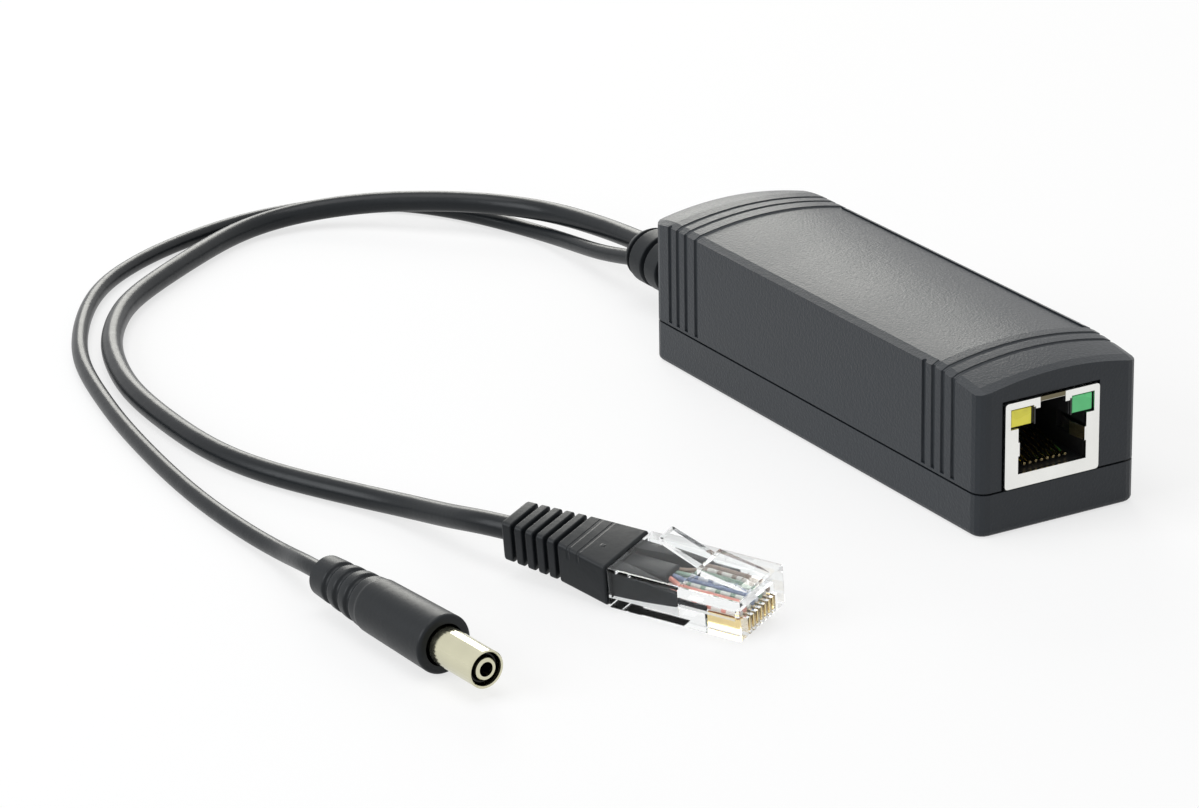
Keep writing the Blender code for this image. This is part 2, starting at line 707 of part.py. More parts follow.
def jack_insert():
    """The moulded insert: the mouth as a blind hall, lamp slots and pockets for the side springs."""
    front = JACK_FRONT - SHEET - GAP
    insert = plate(jack_rectangle(SHEET + GAP, JACK_CORNER), JACK_FRONT - JACK_DEPTH + SHEET + GAP,
                   front, "X")
    cut(insert, plate(mouth_outline(), front - MOUTH_DEPTH, front + GAP, "X"))
    half = MOUTH_WIDTH / 2 + SPRING_POCKET
    cut(insert, block((JACK_FRONT - SPRING_REACH - 4 * GAP, JACK_OFFSET - half, SPRING_FOOT - GAP),
                      (JACK_FRONT, JACK_OFFSET + half, SPRING_FOOT + SPRING_HEIGHT + GAP)))
    for side in (-1, 1):
        cut(insert, lamp_box(side, GAP, JACK_FRONT - SHEET - LAMP_DEPTH - GAP))
    return finish(insert, "jack_insert", INSERT_PLASTIC, 30)


def jack_contacts():
    """Eight sprung wires: each lies on the mouth's floor behind the lip and climbs towards the back."""
    radius = JACK_WIRE_DIAMETER / 2
    low = MOUTH_FLOOR + radius + GAP
    front = JACK_FRONT - JACK_WIRE_SETBACK
    line = [(front, low), (front - 4 * radius, low),
            (front - JACK_WIRE_LENGTH, low + JACK_WIRE_RISE)]
    for name, offset in zip(numbered("jack_contact", CONTACT_COUNT), row_offsets()):
        wire = tube([(x, JACK_OFFSET + offset, z) for x, z in line], radius)
        finish(wire, name, GOLD, 40)


def jack_lamps():
    """The two indicators in the jack's upper corners."""
    rear = JACK_FRONT - SHEET - LAMP_DEPTH
    finish(lamp_box(-1, 0.0, rear), "jack_led_yellow", YELLOW_LAMP)
    finish(lamp_box(1, 0.0, rear), "jack_led_green", GREEN_LAMP)


# Board and its parts

def board_point(place):
    """The point on the board's top for a place given in shares."""
    return BOARD_REAR + place[0] * PARTS_RUN, place[1] * BOARD_WIDTH, BOARD_TOP + GAP


def on_board(size, place, bevel=0.0002):
    """A box-shaped part on the board."""
    x, y, foot = board_point(place)
    half_x, half_y = size[0] * PARTS_RUN / 2, size[1] * BOARD_WIDTH / 2
    return block((x - half_x, y - half_y, foot),
                 (x + half_x, y + half_y, foot + size[2] * PARTS_ROOM), bevel)


def standing_can(size, place):
    """A round part that stands on the board, with a rolled groove near its foot and a soft top edge."""
    radius, height = size[0] * PARTS_RUN, size[1] * PARTS_ROOM
    edge = radius / 10
    groove = height / 8
    profile = [(0.0, 0.0), (0.0, radius - edge), (edge, radius), (groove, radius),
               (groove + edge, radius - edge), (groove + 2 * edge, radius), (height - edge, radius),
               (height, radius - edge), (height, 0.0)]
    return upright(profile, board_point(place))


def circuit_board():
    """The board, a close fit between the side walls."""
    half = BOARD_WIDTH / 2
    board = plate([(BOARD_REAR, -half), (BOARD_FRONT, -half), (BOARD_FRONT, half), (BOARD_REAR, half)],
                  BOARD_FOOT, BOARD_TOP)
    finish(board, "circuit_board", BOARD_GREEN)


def flyback_core():
    """Two E halves closed on each other: three legs between two yokes."""
    x, y, foot = board_point(FLYBACK_PLACE)
    half, thickness = FLYBACK_SIZE[0] * PARTS_RUN / 2, FLYBACK_SIZE[1] * BOARD_WIDTH
    top = foot + FLYBACK_SIZE[2] * PARTS_ROOM
    core = block((x - half, y - thickness / 2, foot), (x + half, y + thickness / 2, top))
    for side in (-1, 1):
        near = x + side * FLYBACK_LEG / 2
        far = x + side * (half - FLYBACK_SIDE_LEG)
        cut(core, block((min(near, far), y - thickness, foot + FLYBACK_SIDE_LEG),
                        (max(near, far), y + thickness, top - FLYBACK_SIDE_LEG)))
    return finish(core, "flyback_core", FERRITE)


def flyback_bobbin():
    """The wound bobbin round the core's middle leg."""
    x, y, foot = board_point(FLYBACK_PLACE)
    low = foot + FLYBACK_SIDE_LEG + GAP
    high = foot + FLYBACK_SIZE[2] * PARTS_ROOM - FLYBACK_SIDE_LEG - GAP
    outer = FLYBACK_SIZE[0] * PARTS_RUN / 2 - FLYBACK_SIDE_LEG - GAP
    half = FLYBACK_SIZE[1] * BOARD_WIDTH / 2
    reach = half + BOBBIN_OVERHANG
    bobbin = block((x - outer, y - reach, low), (x + outer, y + reach, high))
    cut(bobbin, block((x - FLYBACK_LEG / 2 - GAP, y - half - GAP, low - GAP),
                      (x + FLYBACK_LEG / 2 + GAP, y + half + GAP, high + GAP)))
    return finish(bobbin, "flyback_bobbin", WINDING_TAPE)


def board_parts():
    """The converter's parts, from the jack's end to the leads' end."""
    finish(on_board(TRANSFORMER_SIZE, TRANSFORMER_PLACE), "lan_transformer", CHIP_BLACK)
    for name, place in zip(numbered("bridge_rectifier", len(BRIDGE_PLACES)), BRIDGE_PLACES):
        finish(on_board(BRIDGE_SIZE, place), name, CHIP_BLACK)
    finish(on_board(CONTROLLER_SIZE, CONTROLLER_PLACE), "controller_ic", CHIP_BLACK)
    finish(on_board(SWITCH_SIZE, SWITCH_PLACE), "switching_transistor", CHIP_BLACK)
    finish(on_board(DIODE_SIZE, DIODE_PLACE), "output_diode", CHIP_BLACK)
    finish(on_board(OPTOCOUPLER_SIZE, OPTOCOUPLER_PLACE), "optocoupler", WINDING_TAPE)
    cans = (
        ("input_capacitor", INPUT_CAPACITOR_SIZE, INPUT_CAPACITOR_PLACE),
        ("output_capacitor", OUTPUT_CAPACITOR_SIZE, OUTPUT_CAPACITOR_PLACE),
        ("output_inductor", INDUCTOR_SIZE, INDUCTOR_PLACE),
    )
    for name, size, place in cans:
        finish(standing_can(size, place), name, CAN_SLEEVE, 30)
    flyback_core()
    flyback_bobbin()


# Strain relief and leads

def relief_outline():
    """The strain relief's (x, radius) line from its inner flange to its small end, with its slots."""
    inner = -HALF_LENGTH + WALL + GAP
    outer = -HALF_LENGTH - GAP
    tip = -HALF_LENGTH - RELIEF_LENGTH
    nose = tip + RELIEF_NOSE_LENGTH
    line = [(inner + RELIEF_FLANGE, 0.0), (inner + RELIEF_FLANGE, RELIEF_FLANGE_RADIUS),
            (inner, RELIEF_FLANGE_RADIUS), (inner, RELIEF_NECK_RADIUS), (outer, RELIEF_NECK_RADIUS),
            (outer, RELIEF_RADIUS)]
    slots = [tip + RELIEF_SLOT_START + RELIEF_SLOT_PITCH * i for i in range(RELIEF_SLOTS)]
    for x in reversed(slots):
        if x + RELIEF_SLOT_WIDTH < outer - RELIEF_SLOT_WIDTH:
            line += relief_slot(x, tip, nose)
    line += [(tip + RELIEF_SLOT_WIDTH / 2, relief_radius(tip + RELIEF_SLOT_WIDTH / 2, tip, nose)),
             (tip, RELIEF_NOSE_RADIUS - RELIEF_SLOT_WIDTH / 3), (tip, 0.0)]
    return line


def relief_radius(x, tip, nose):
    """The outer radius at x: full up to the nose, then a quarter wave down to the small end."""
    share = max(0.0, min(1.0, (nose - x) / (nose - tip)))
    return RELIEF_NOSE_RADIUS + (RELIEF_RADIUS - RELIEF_NOSE_RADIUS) * math.cos(share * math.pi / 2)


def relief_slot(x, tip, nose):
    """The four corners of one ring slot, from its inner side to its outer side."""
    half = RELIEF_SLOT_WIDTH / 2
    floor = relief_radius(x, tip, nose) - RELIEF_SLOT_DEPTH
    return [(x + half, relief_radius(x + half, tip, nose)), (x + half, floor),
            (x - half, floor), (x - half, relief_radius(x - half, tip, nose))]


def cable_gland():
    """The rubber strain relief: an oval turned body held in both shells by its neck."""
    gland = turned(relief_outline(), 32, oval=RELIEF_OVAL)
    gland.data.transform(Matrix.Translation((0, 0, RELIEF_AXIS_HEIGHT)))
    return finish(gland, "cable_gland", RUBBER, 30)


def smooth_line(points, spacing):
    """Points at an even spacing along a smooth curve through the chosen ones."""
    places = [Vector(point) for point in points]
    ends = [2 * places[0] - places[1]] + places + [2 * places[-1] - places[-2]]
    dense = []
    for before, start, end, after in zip(ends, ends[1:], ends[2:], ends[3:]):
        for i in range(20):
            t = i / 20
            dense.append(0.5 * (2 * start + (end - before) * t
                                + (2 * before - 5 * start + 4 * end - after) * t ** 2
                                + (3 * start - before - 3 * end + after) * t ** 3))
    dense.append(places[-1])
    walked = [0.0]
    for start, end in zip(dense, dense[1:]):
        walked.append(walked[-1] + (end - start).length)
    count = max(2, round(walked[-1] / spacing))
    result = []
    index = 0
    for i in range(count + 1):
        target = walked[-1] * i / count
        while index < len(walked) - 2 and walked[index + 1] < target:
            index += 1
        share = (target - walked[index]) / (walked[index + 1] - walked[index])
        result.append(dense[index].lerp(dense[index + 1], share))
    return result


def lead_route(side, height, points, frame, tail, lift):
    """A lead's whole route: out of the strain relief, over its points, and straight into its plug."""
    start = -HALF_LENGTH - RELIEF_LENGTH - GAP
    entry = frame.matrix_world @ Vector((tail - GAP, 0.0, lift))
    before = frame.matrix_world @ Vector((tail - GAP - 0.005, 0.0, lift))
    return [(start, side * LEAD_SPREAD, height)] + list(points) + [before, entry]


def leads(plug_frame, power_frame):
    """Both leads, as plain round bars along their routes."""
    rear_lift = BOOT_REAR_LIFT
    network = lead_route(1, RELIEF_AXIS_HEIGHT, NETWORK_ROUTE, plug_frame, BOOT_REAR, rear_lift)
    power = lead_route(-1, RELIEF_AXIS_HEIGHT - 0.001, POWER_ROUTE, power_frame, -MOULDING_LENGTH, 0.0)
    bar = tube(smooth_line(network, LEAD_PITCH * NETWORK_LEAD_DIAMETER), NETWORK_LEAD_DIAMETER / 2)
    finish(bar, "ethernet_cable", LEAD_BLACK, 60)
    bar = tube(smooth_line(power, LEAD_PITCH * POWER_LEAD_DIAMETER), POWER_LEAD_DIAMETER / 2)
    finish(bar, "power_cable", LEAD_BLACK, 60)


# Network plug

def plug_empty(name, place, turn):
    """An empty that carries a plug: its place, and its roll, pitch and yaw in degrees."""
    frame = bpy.data.objects.new(name, None)
    PARTS.objects.link(frame)
    frame.location = place
    frame.rotation_euler = Euler([math.radians(angle) for angle in turn], "XYZ")
    bpy.context.view_layer.update()
    return frame


def latch(frame):
    """The latch: a wide tongue that climbs back from the nose, and a narrower tail behind its shoulders."""
    top = PLUG_HALF_HEIGHT
    root = LATCH_THICKNESS / 2
    back = -LATCH_LENGTH
    side = [(-root, top - root), (-root, top + SLIM_GAP), (-3 * root, top + LATCH_THICKNESS / 2),
            (back, top + LATCH_RISE), (back, top + LATCH_RISE - LATCH_THICKNESS),
            (-5 * root, top + SLIM_GAP), (-4 * root, top - root)]
    tongue = plate(side, -LATCH_WIDTH / 2, LATCH_WIDTH / 2, "Y", frame)
    high = top + LATCH_RISE
    low = high - TAIL_THICKNESS
    end = back - TAIL_LENGTH
    tail = [(back + root, low), (back + root, high - SLIM_GAP), (end, high + TAIL_RISE),
            (end - SLIM_GAP, high + TAIL_RISE - TAIL_THICKNESS / 2), (end, low + TAIL_RISE),
            (back - root, low)]
    return tongue, plate(tail, -TAIL_WIDTH / 2, TAIL_WIDTH / 2, "Y", frame)


def rj45_body(frame):
    """The clear body: a hall for the boot, a flat hall for the cores, eight blade slots and the latch."""
    body = block((-PLUG_LENGTH, -PLUG_HALF_WIDTH, -PLUG_HALF_HEIGHT),
                 (0.0, PLUG_HALF_WIDTH, PLUG_HALF_HEIGHT), PLUG_EDGE, frame)
    half_hall = PLUG_HALF_WIDTH - PLUG_WALL
    high_hall = PLUG_HALF_HEIGHT - PLUG_WALL
    cut(body, block((-PLUG_LENGTH - GAP, -half_hall, -high_hall),
                    (-PLUG_LENGTH + PLUG_HALL_LENGTH, half_hall, high_hall), 0.0, frame))
    core_half = (CONTACT_COUNT * CONTACT_PITCH) / 2 + GAP
    cut(body, block((-PLUG_LENGTH, -core_half, -CORE_HALL_HEIGHT / 2),
                    (-3 * BLADE_SETBACK, core_half, CORE_HALL_HEIGHT / 2), 0.0, frame))
    for offset in row_offsets():
        half = BLADE_THICKNESS / 2 + SLIM_GAP
        cut(body, block((-BLADE_SETBACK - BLADE_LENGTH - GAP, offset - half, -PLUG_HEIGHT),
                        (BLADE_SETBACK, offset + half, -CORE_HALL_HEIGHT / 4), 0.0, frame))
    join(body, *latch(frame))
    return finish(body, "rj45_plug_body", CLEAR_PLASTIC, 30)


def rj45_blades(frame):
    """Eight gold blades, each in its slot below its core."""
    top = -CORE_DIAMETER / 2 - GAP
    low = -PLUG_HALF_HEIGHT + 2 * SLIM_GAP
    for name, offset in zip(numbered("rj45_contact", CONTACT_COUNT), row_offsets()):
        blade = block((-BLADE_SETBACK - BLADE_LENGTH, offset - BLADE_THICKNESS / 2, low),
                      (-BLADE_SETBACK, offset + BLADE_THICKNESS / 2, top), 0.0, frame)
        finish(blade, name, GOLD)


def rj45_cores(frame):
    """Eight insulated cores, side by side from the boot's prongs to the nose."""
    start = BOOT_FRONT + BOOT_TONGUE_LENGTH + GAP
    end = -3 * BLADE_SETBACK - GAP
    for i, offset in enumerate(row_offsets()):
        core = tube([(start, offset, 0.0), (end, offset, 0.0)], CORE_DIAMETER / 2, 2, frame)
        finish(core, f"rj45_wire_{i + 1}", CORE_LOOKS[i], 40)


def boot_form(x):
    """The boot's half width, foot and top at x: full at the plug, and finer and higher to the lead."""
    shoulder = BOOT_FRONT - BOOT_BLOCK_LENGTH
    full = (PLUG_HALF_WIDTH, -PLUG_HALF_HEIGHT, PLUG_HALF_HEIGHT)
    waist = (BOOT_SHOULDER_WIDTH / 2, BOOT_SHOULDER_LIFT - BOOT_SHOULDER_HEIGHT / 2,
             BOOT_SHOULDER_LIFT + BOOT_SHOULDER_HEIGHT / 2)
    end = (BOOT_REAR_WIDTH / 2, BOOT_REAR_LIFT - BOOT_REAR_HEIGHT / 2,
           BOOT_REAR_LIFT + BOOT_REAR_HEIGHT / 2)
    if x > shoulder:
        share, near, far = (BOOT_FRONT - x) / BOOT_BLOCK_LENGTH, full, waist
    else:
        share, near, far = (shoulder - x) / (shoulder - BOOT_REAR), waist, end
    return [a + (b - a) * share for a, b in zip(near, far)]


def boot_slot(x, frame):
    """A cutter for one slot: a slice round the boot, with the core left standing."""
    half = BOOT_SLOT_WIDTH / 2
    wide, foot, top = boot_form(x)
    reach = PLUG_WIDTH
    cutter = block((x - half, -reach, -reach), (x + half, reach, reach), 0.0, frame)
    depth = BOOT_SLOT_DEPTH
    cut(cutter, block((x - 2 * half, depth - wide, foot + depth),
                      (x + 2 * half, wide - depth, top - depth), 0.0, frame))
    return cutter


def boot_tongue(frame):
    """Two prongs that taper forward into the clear body, open between their points."""
    rear = BOOT_FRONT - BOOT_SLOT_DEPTH
    front = BOOT_FRONT + BOOT_TONGUE_LENGTH
    wide = PLUG_HALF_WIDTH - PLUG_WALL - GAP
    narrow = wide - BOOT_TONGUE_TAPER
    slot = BOOT_PRONG_GAP / 2
    outline = [(rear, -wide), (BOOT_FRONT + wide / 2, -wide), (front, -narrow), (front, -slot),
               (BOOT_FRONT + wide, -slot), (BOOT_FRONT + wide, slot), (front, slot), (front, narrow),
               (BOOT_FRONT + wide / 2, wide), (rear, wide)]
    half = BOOT_TONGUE_HEIGHT / 2
    return plate(outline, -half, half, "Z", frame)


def rj45_boot(frame):
    """The moulded boot: a block flush with the clear body, slots round its finer end, and the prongs."""
    stations = [BOOT_FRONT, BOOT_FRONT - BOOT_BLOCK_LENGTH, BOOT_REAR]
    forms = [(x, *boot_form(x)) for x in stations]
    above = [(x, -wide) for x, wide, _, _ in forms] + [(x, wide) for x, wide, _, _ in reversed(forms)]
    beside = [(x, foot) for x, _, foot, _ in forms] + [(x, top) for x, _, _, top in reversed(forms)]
    boot = plate(above, -PLUG_WIDTH, PLUG_WIDTH, "Z", frame)
    combine(boot, plate(beside, -PLUG_WIDTH, PLUG_WIDTH, "Y", frame), "INTERSECT")
    rounding = boot.modifiers.new("edges", "BEVEL")
    rounding.width = BOOT_EDGE
    rounding.segments = 2
    rounding.limit_method = "ANGLE"
    rounding.angle_limit = math.radians(40)
    for i in range(BOOT_SLOTS):
        cut(boot, boot_slot(BOOT_FRONT - BOOT_BLOCK_LENGTH - BOOT_SLOT_PITCH * i, frame))
    join(boot, boot_tongue(frame))
    return finish(boot, "rj45_plug_boot", RUBBER, 30)


# Power plug

def moulding_radius(x):
    """The moulding's radius at x: a slender rear, and a slow swell from the shoulder to the front."""
    shoulder = -MOULDING_LENGTH + MOULDING_SHOULDER
    if x < shoulder:
        share = (x + MOULDING_LENGTH) / MOULDING_SHOULDER
        return MOULDING_REAR_RADIUS + (MOULDING_WAIST_RADIUS - MOULDING_REAR_RADIUS) * share
    share = (x - shoulder) / -shoulder
    return MOULDING_WAIST_RADIUS + (MOULDING_FRONT_RADIUS - MOULDING_WAIST_RADIUS) * share


def moulding_profile():
    """The power plug's moulding: slots at the rear, a shoulder, and a swelling front with a bore."""
    rear = -MOULDING_LENGTH
    profile = [(-BARREL_ROOT, 0.0), (rear, 0.0), (rear, moulding_radius(rear))]
    half = MOULDING_SLOT_WIDTH / 2
    for i in range(MOULDING_SLOTS):
        x = rear + MOULDING_SLOT_PITCH * (i + 1)
        floor = moulding_radius(x) - MOULDING_SLOT_DEPTH
        profile += [(x - half, moulding_radius(x - half)), (x - half, floor), (x + half, floor),
                    (x + half, moulding_radius(x + half))]
    shoulder = rear + MOULDING_SHOULDER
    ring = 2 * MOULDING_BUMP
    profile += [(shoulder - 2 * ring, moulding_radius(shoulder - 2 * ring)),
                (shoulder - ring, MOULDING_WAIST_RADIUS + MOULDING_BUMP),
                (shoulder + ring, MOULDING_WAIST_RADIUS + MOULDING_BUMP),
                (shoulder + 2 * ring, moulding_radius(shoulder + 2 * ring)),
                (-MOULDING_CHAMFER, moulding_radius(-MOULDING_CHAMFER)),
                (0.0, MOULDING_FRONT_RADIUS - MOULDING_CHAMFER), (0.0, SLEEVE_RADIUS + GAP),
                (-BARREL_ROOT, SLEEVE_RADIUS + GAP), (-BARREL_ROOT, 0.0)]
    return profile


def dc_plug(frame):
    """The power plug: moulding, outer sleeve, sunk insulator, and the tip with its hole."""
    finish(turned(moulding_profile()[::-1], 32, frame), "dc_plug_moulding", MOULDING_BLACK, 30)
    root = -BARREL_ROOT + GAP
    bore = SLEEVE_RADIUS - SLEEVE_WALL
    lip = SLEEVE_WALL / 3
    sleeve = [(root, bore), (BARREL_LENGTH - lip, bore), (BARREL_LENGTH, bore + lip),
              (BARREL_LENGTH, SLEEVE_RADIUS - lip), (BARREL_LENGTH - lip, SLEEVE_RADIUS),
              (root, SLEEVE_RADIUS), (root, bore)]
    finish(turned(sleeve, 32, frame), "dc_plug_sleeve", NICKEL, 30)
    pin = PIN_HOLE_RADIUS + PIN_WALL
    face = BARREL_LENGTH - INSULATOR_SETBACK
    insulator = [(root, pin + GAP), (face, pin + GAP), (face, bore - GAP), (root, bore - GAP),
                 (root, pin + GAP)]
    finish(turned(insulator, 32, frame), "dc_plug_insulator", INSERT_PLASTIC, 30)
    end = BARREL_LENGTH - PIN_SETBACK
    tip = [(root, PIN_HOLE_RADIUS), (end, PIN_HOLE_RADIUS), (end, pin - lip), (end - lip, pin),
           (root, pin), (root, PIN_HOLE_RADIUS)]
    finish(turned(tip, 32, frame), "dc_plug_tip", NICKEL, 30)


# Materials

HOUSING_PLASTIC = material("housing_plastic", (0.028, 0.031, 0.036), 0.42)
INSERT_PLASTIC = material("insert_plastic", (0.012, 0.012, 0.013), 0.5)
NICKEL = material("nickel", (0.78, 0.77, 0.74), 0.22, 1.0)
GOLD = material("gold", (0.83, 0.62, 0.25), 0.25, 1.0)
YELLOW_LAMP = material("yellow_lamp", (0.62, 0.60, 0.10), 0.3)
GREEN_LAMP = material("green_lamp", (0.16, 0.52, 0.22), 0.3)
BOARD_GREEN = material("board_green", (0.02, 0.12, 0.05), 0.4)
CHIP_BLACK = material("chip_black", (0.02, 0.02, 0.02), 0.5)
FERRITE = material("ferrite", (0.06, 0.06, 0.065), 0.6)
WINDING_TAPE = material("winding_tape", (0.62, 0.55, 0.10), 0.5)
CAN_SLEEVE = material("can_sleeve", (0.03, 0.04, 0.12), 0.35)
RUBBER = material("rubber", (0.022, 0.023, 0.026), 0.6)
LEAD_BLACK = material("lead_black", (0.014, 0.014, 0.016), 0.45)
MOULDING_BLACK = material("moulding_black", (0.018, 0.018, 0.021), 0.4)
CLEAR_PLASTIC = material("clear_plastic", (0.86, 0.88, 0.88), 0.08, 0.0, 0.3)
CORE_WHITE_ORANGE = material("core_white_orange", (0.80, 0.58, 0.42), 0.4)
CORE_ORANGE = material("core_orange", (0.75, 0.25, 0.05), 0.4)
CORE_WHITE_GREEN = material("core_white_green", (0.60, 0.75, 0.55), 0.4)
CORE_BLUE = material("core_blue", (0.05, 0.15, 0.55), 0.4)
CORE_WHITE_BLUE = material("core_white_blue", (0.55, 0.65, 0.80), 0.4)
CORE_GREEN = material("core_green", (0.05, 0.35, 0.10), 0.4)
CORE_WHITE_BROWN = material("core_white_brown", (0.70, 0.60, 0.50), 0.4)
CORE_BROWN = material("core_brown", (0.22, 0.10, 0.04), 0.4)
CORE_LOOKS = (CORE_WHITE_ORANGE, CORE_ORANGE, CORE_WHITE_GREEN, CORE_BLUE,
              CORE_WHITE_BLUE, CORE_GREEN, CORE_WHITE_BROWN, CORE_BROWN)


def main():
    """Build the adapter, end to end."""
    plug_frame = plug_empty("network_plug_place", PLUG_PLACE, PLUG_TURN)
    power_frame = plug_empty("power_plug_place", POWER_PLACE, POWER_TURN)
    circuit_board()
    board_parts()
    jack_shield()
    jack_insert()
    jack_contacts()
    jack_lamps()
    cable_gland()
    leads(plug_frame, power_frame)
    rj45_blades(plug_frame)
    rj45_cores(plug_frame)
    rj45_boot(plug_frame)
    dc_plug(power_frame)
    rj45_body(plug_frame)
    bottom_base()
    top_cover()


main()
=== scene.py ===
"""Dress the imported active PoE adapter: lay its two leads, shape its soft mouldings, finish every
surface and set the stage.

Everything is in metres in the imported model's frame: +X is the end with the network jack, +Z is up,
and the origin is the middle of the housing's underside. Each operator below makes one piece or one
group of like pieces; main() runs them in order.
"""

import json
import math

import bpy
import numpy as np
from bpy.props import FloatProperty, FloatVectorProperty, PointerProperty
from bpy.types import Operator, Panel, PropertyGroup
from mathutils import Euler, Matrix, Vector

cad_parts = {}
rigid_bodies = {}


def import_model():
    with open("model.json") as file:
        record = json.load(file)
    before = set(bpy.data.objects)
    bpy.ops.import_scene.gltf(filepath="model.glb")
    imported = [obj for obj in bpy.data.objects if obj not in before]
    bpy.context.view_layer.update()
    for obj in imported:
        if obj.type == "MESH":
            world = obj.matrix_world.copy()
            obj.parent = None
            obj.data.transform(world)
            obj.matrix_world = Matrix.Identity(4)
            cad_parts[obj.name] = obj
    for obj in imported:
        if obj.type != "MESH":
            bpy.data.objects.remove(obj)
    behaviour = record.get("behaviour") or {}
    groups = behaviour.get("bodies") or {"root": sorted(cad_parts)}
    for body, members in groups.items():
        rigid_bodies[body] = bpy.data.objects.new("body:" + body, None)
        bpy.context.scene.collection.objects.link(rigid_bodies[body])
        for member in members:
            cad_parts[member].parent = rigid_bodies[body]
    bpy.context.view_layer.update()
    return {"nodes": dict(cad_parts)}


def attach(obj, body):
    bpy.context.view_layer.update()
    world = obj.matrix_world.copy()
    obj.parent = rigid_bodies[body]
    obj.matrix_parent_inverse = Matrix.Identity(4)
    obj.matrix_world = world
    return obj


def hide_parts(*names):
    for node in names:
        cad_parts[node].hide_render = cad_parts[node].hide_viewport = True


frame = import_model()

bl_info = {
    "name": "Active PoE adapter",
    "version": (1, 0, 0),
    "blender": (4, 5, 0),
    "location": "View3D > Sidebar > Adapter",
    "description": "Leads, mouldings, finishes and stage for the packed adapter",
    "category": "Add Mesh",
}

# Where the leads lie, from the strain relief to the plugs
NETWORK_ROUTE = (
    (-0.0781, 0.0022, 0.0069), (-0.0841, 0.0021, 0.0065), (-0.0937, 0.0011, 0.0059),
    (-0.1020, -0.0006, 0.00535), (-0.1091, -0.0050, 0.00525), (-0.1144, -0.0099, 0.0052),
    (-0.1190, -0.0150, 0.0049), (-0.1240, -0.0201, 0.0043), (-0.1275, -0.0253, 0.0036),
    (-0.1301, -0.0306, 0.0029), (-0.1312, -0.0364, 0.0023), (-0.1304, -0.0423, 0.0019),
    (-0.1277, -0.0482, 0.00175), (-0.1237, -0.0545, 0.00175), (-0.1193, -0.0609, 0.00175),
    (-0.1130, -0.0695, 0.00175), (-0.1059, -0.0771, 0.00175), (-0.0932, -0.0852, 0.00175),
    (-0.0789, -0.0902, 0.00175), (-0.0655, -0.0924, 0.00175), (-0.0447, -0.0926, 0.00175),
    (-0.0301, -0.0894, 0.00175), (-0.0127, -0.0818, 0.0020), (-0.0062, -0.0796, 0.0026),
    (0.0017, -0.0784, 0.0038), (0.0080, -0.0779, 0.0051),
)
POWER_ROUTE = (
    (-0.0790, -0.0020, 0.0047), (-0.0841, -0.0018, 0.00385), (-0.0895, -0.0014, 0.00305),
    (-0.0949, -0.0011, 0.0023), (-0.1001, -0.0012, 0.0017), (-0.1074, -0.0025, 0.0013),
    (-0.1156, -0.0054, 0.0013), (-0.1230, -0.0091, 0.0013), (-0.1298, -0.0144, 0.0013),
    (-0.1342, -0.0219, 0.0013), (-0.1360, -0.0331, 0.0013), (-0.1345, -0.0455, 0.0013),
    (-0.1276, -0.0628, 0.0013), (-0.1155, -0.0776, 0.0013), (-0.0930, -0.0908, 0.0013),
    (-0.0685, -0.0973, 0.0013), (-0.0460, -0.1007, 0.0013), (-0.0269, -0.1022, 0.0013),
    (-0.0108, -0.1023, 0.0016), (-0.0011, -0.1021, 0.0022), (0.0048, -0.1029, 0.0034),
)

# Places of the two plugs: position, then roll, pitch and yaw in degrees
NETWORK_PLUG = ((0.05426, -0.05674, 0.00387), (7.6, 1.07, 26.1))
POWER_PLUG = ((0.0440, -0.10075, 0.00437), (0.0, 0.6, 5.1))

# Where each lead ends: in its plug's own frame, and at the strain relief's tip. A lead is straight
# near its plug and sunk in what holds it, and its jacket evens out small bends by a bell curve
BOOT_REAR = (-0.0406, 0.0, 0.0015)
MOULDING_REAR = (-0.0298, 0.0, 0.0)
RELIEF_TIP = (-0.0697, 0.0, 0.0076)
LEAD_SPREAD = 0.0019
POWER_LEAD_DROP = 0.001
LEAD_CLEAR = 0.0003
LEAD_STRAIGHT = 0.0053
LEAD_SUNK = 0.0012
LEAD_AROUND = 28
JACKET_BELL = 0.004
JACKET_REACH = 0.012

# Small bevel at the free end of the strain relief and of the grip: along and across
END_BEVEL = (0.0002, 0.0003)

# Strain relief, along the model's X
RELIEF_NOSE = 0.0030
RELIEF_TIP_RADIUS = 0.0036
RELIEF_OVAL = 1.12
RELIEF_SLOTS = RELIEF_TIP[0] + 0.0022 + 0.0046 * np.arange(5)
RELIEF_SLOT_WIDTH = 0.0010
RELIEF_SLOT_EDGE = 0.00006
RELIEF_WALL = -0.0448
RELIEF_COLLAR = (-0.0424, -0.0414)
RELIEF_COLLAR_RADIUS = 0.0045

# Power plug's grip, in the plug's own frame
GRIP_REAR = MOULDING_REAR[0] + 0.0006
GRIP_SHOULDER = MOULDING_REAR[0] + 0.0135
GRIP_WAIST = 0.00385
GRIP_TAIL = 0.0030
GRIP_STEP = 0.00013
GRIP_STEP_EDGE = 0.00012
GRIP_SLOTS = GRIP_REAR + 0.00135 + 0.0030 * np.arange(1, 4)
GRIP_SLOT_WIDTH = 0.0010
GRIP_SLOT_DEPTH = 0.0005
GRIP_SLOT_EDGE = 0.00012
GRIP_ROUND = 0.0005
GRIP_MOUTH_RADIUS = 0.00305
GRIP_MOUTH_DEPTH = 0.0035

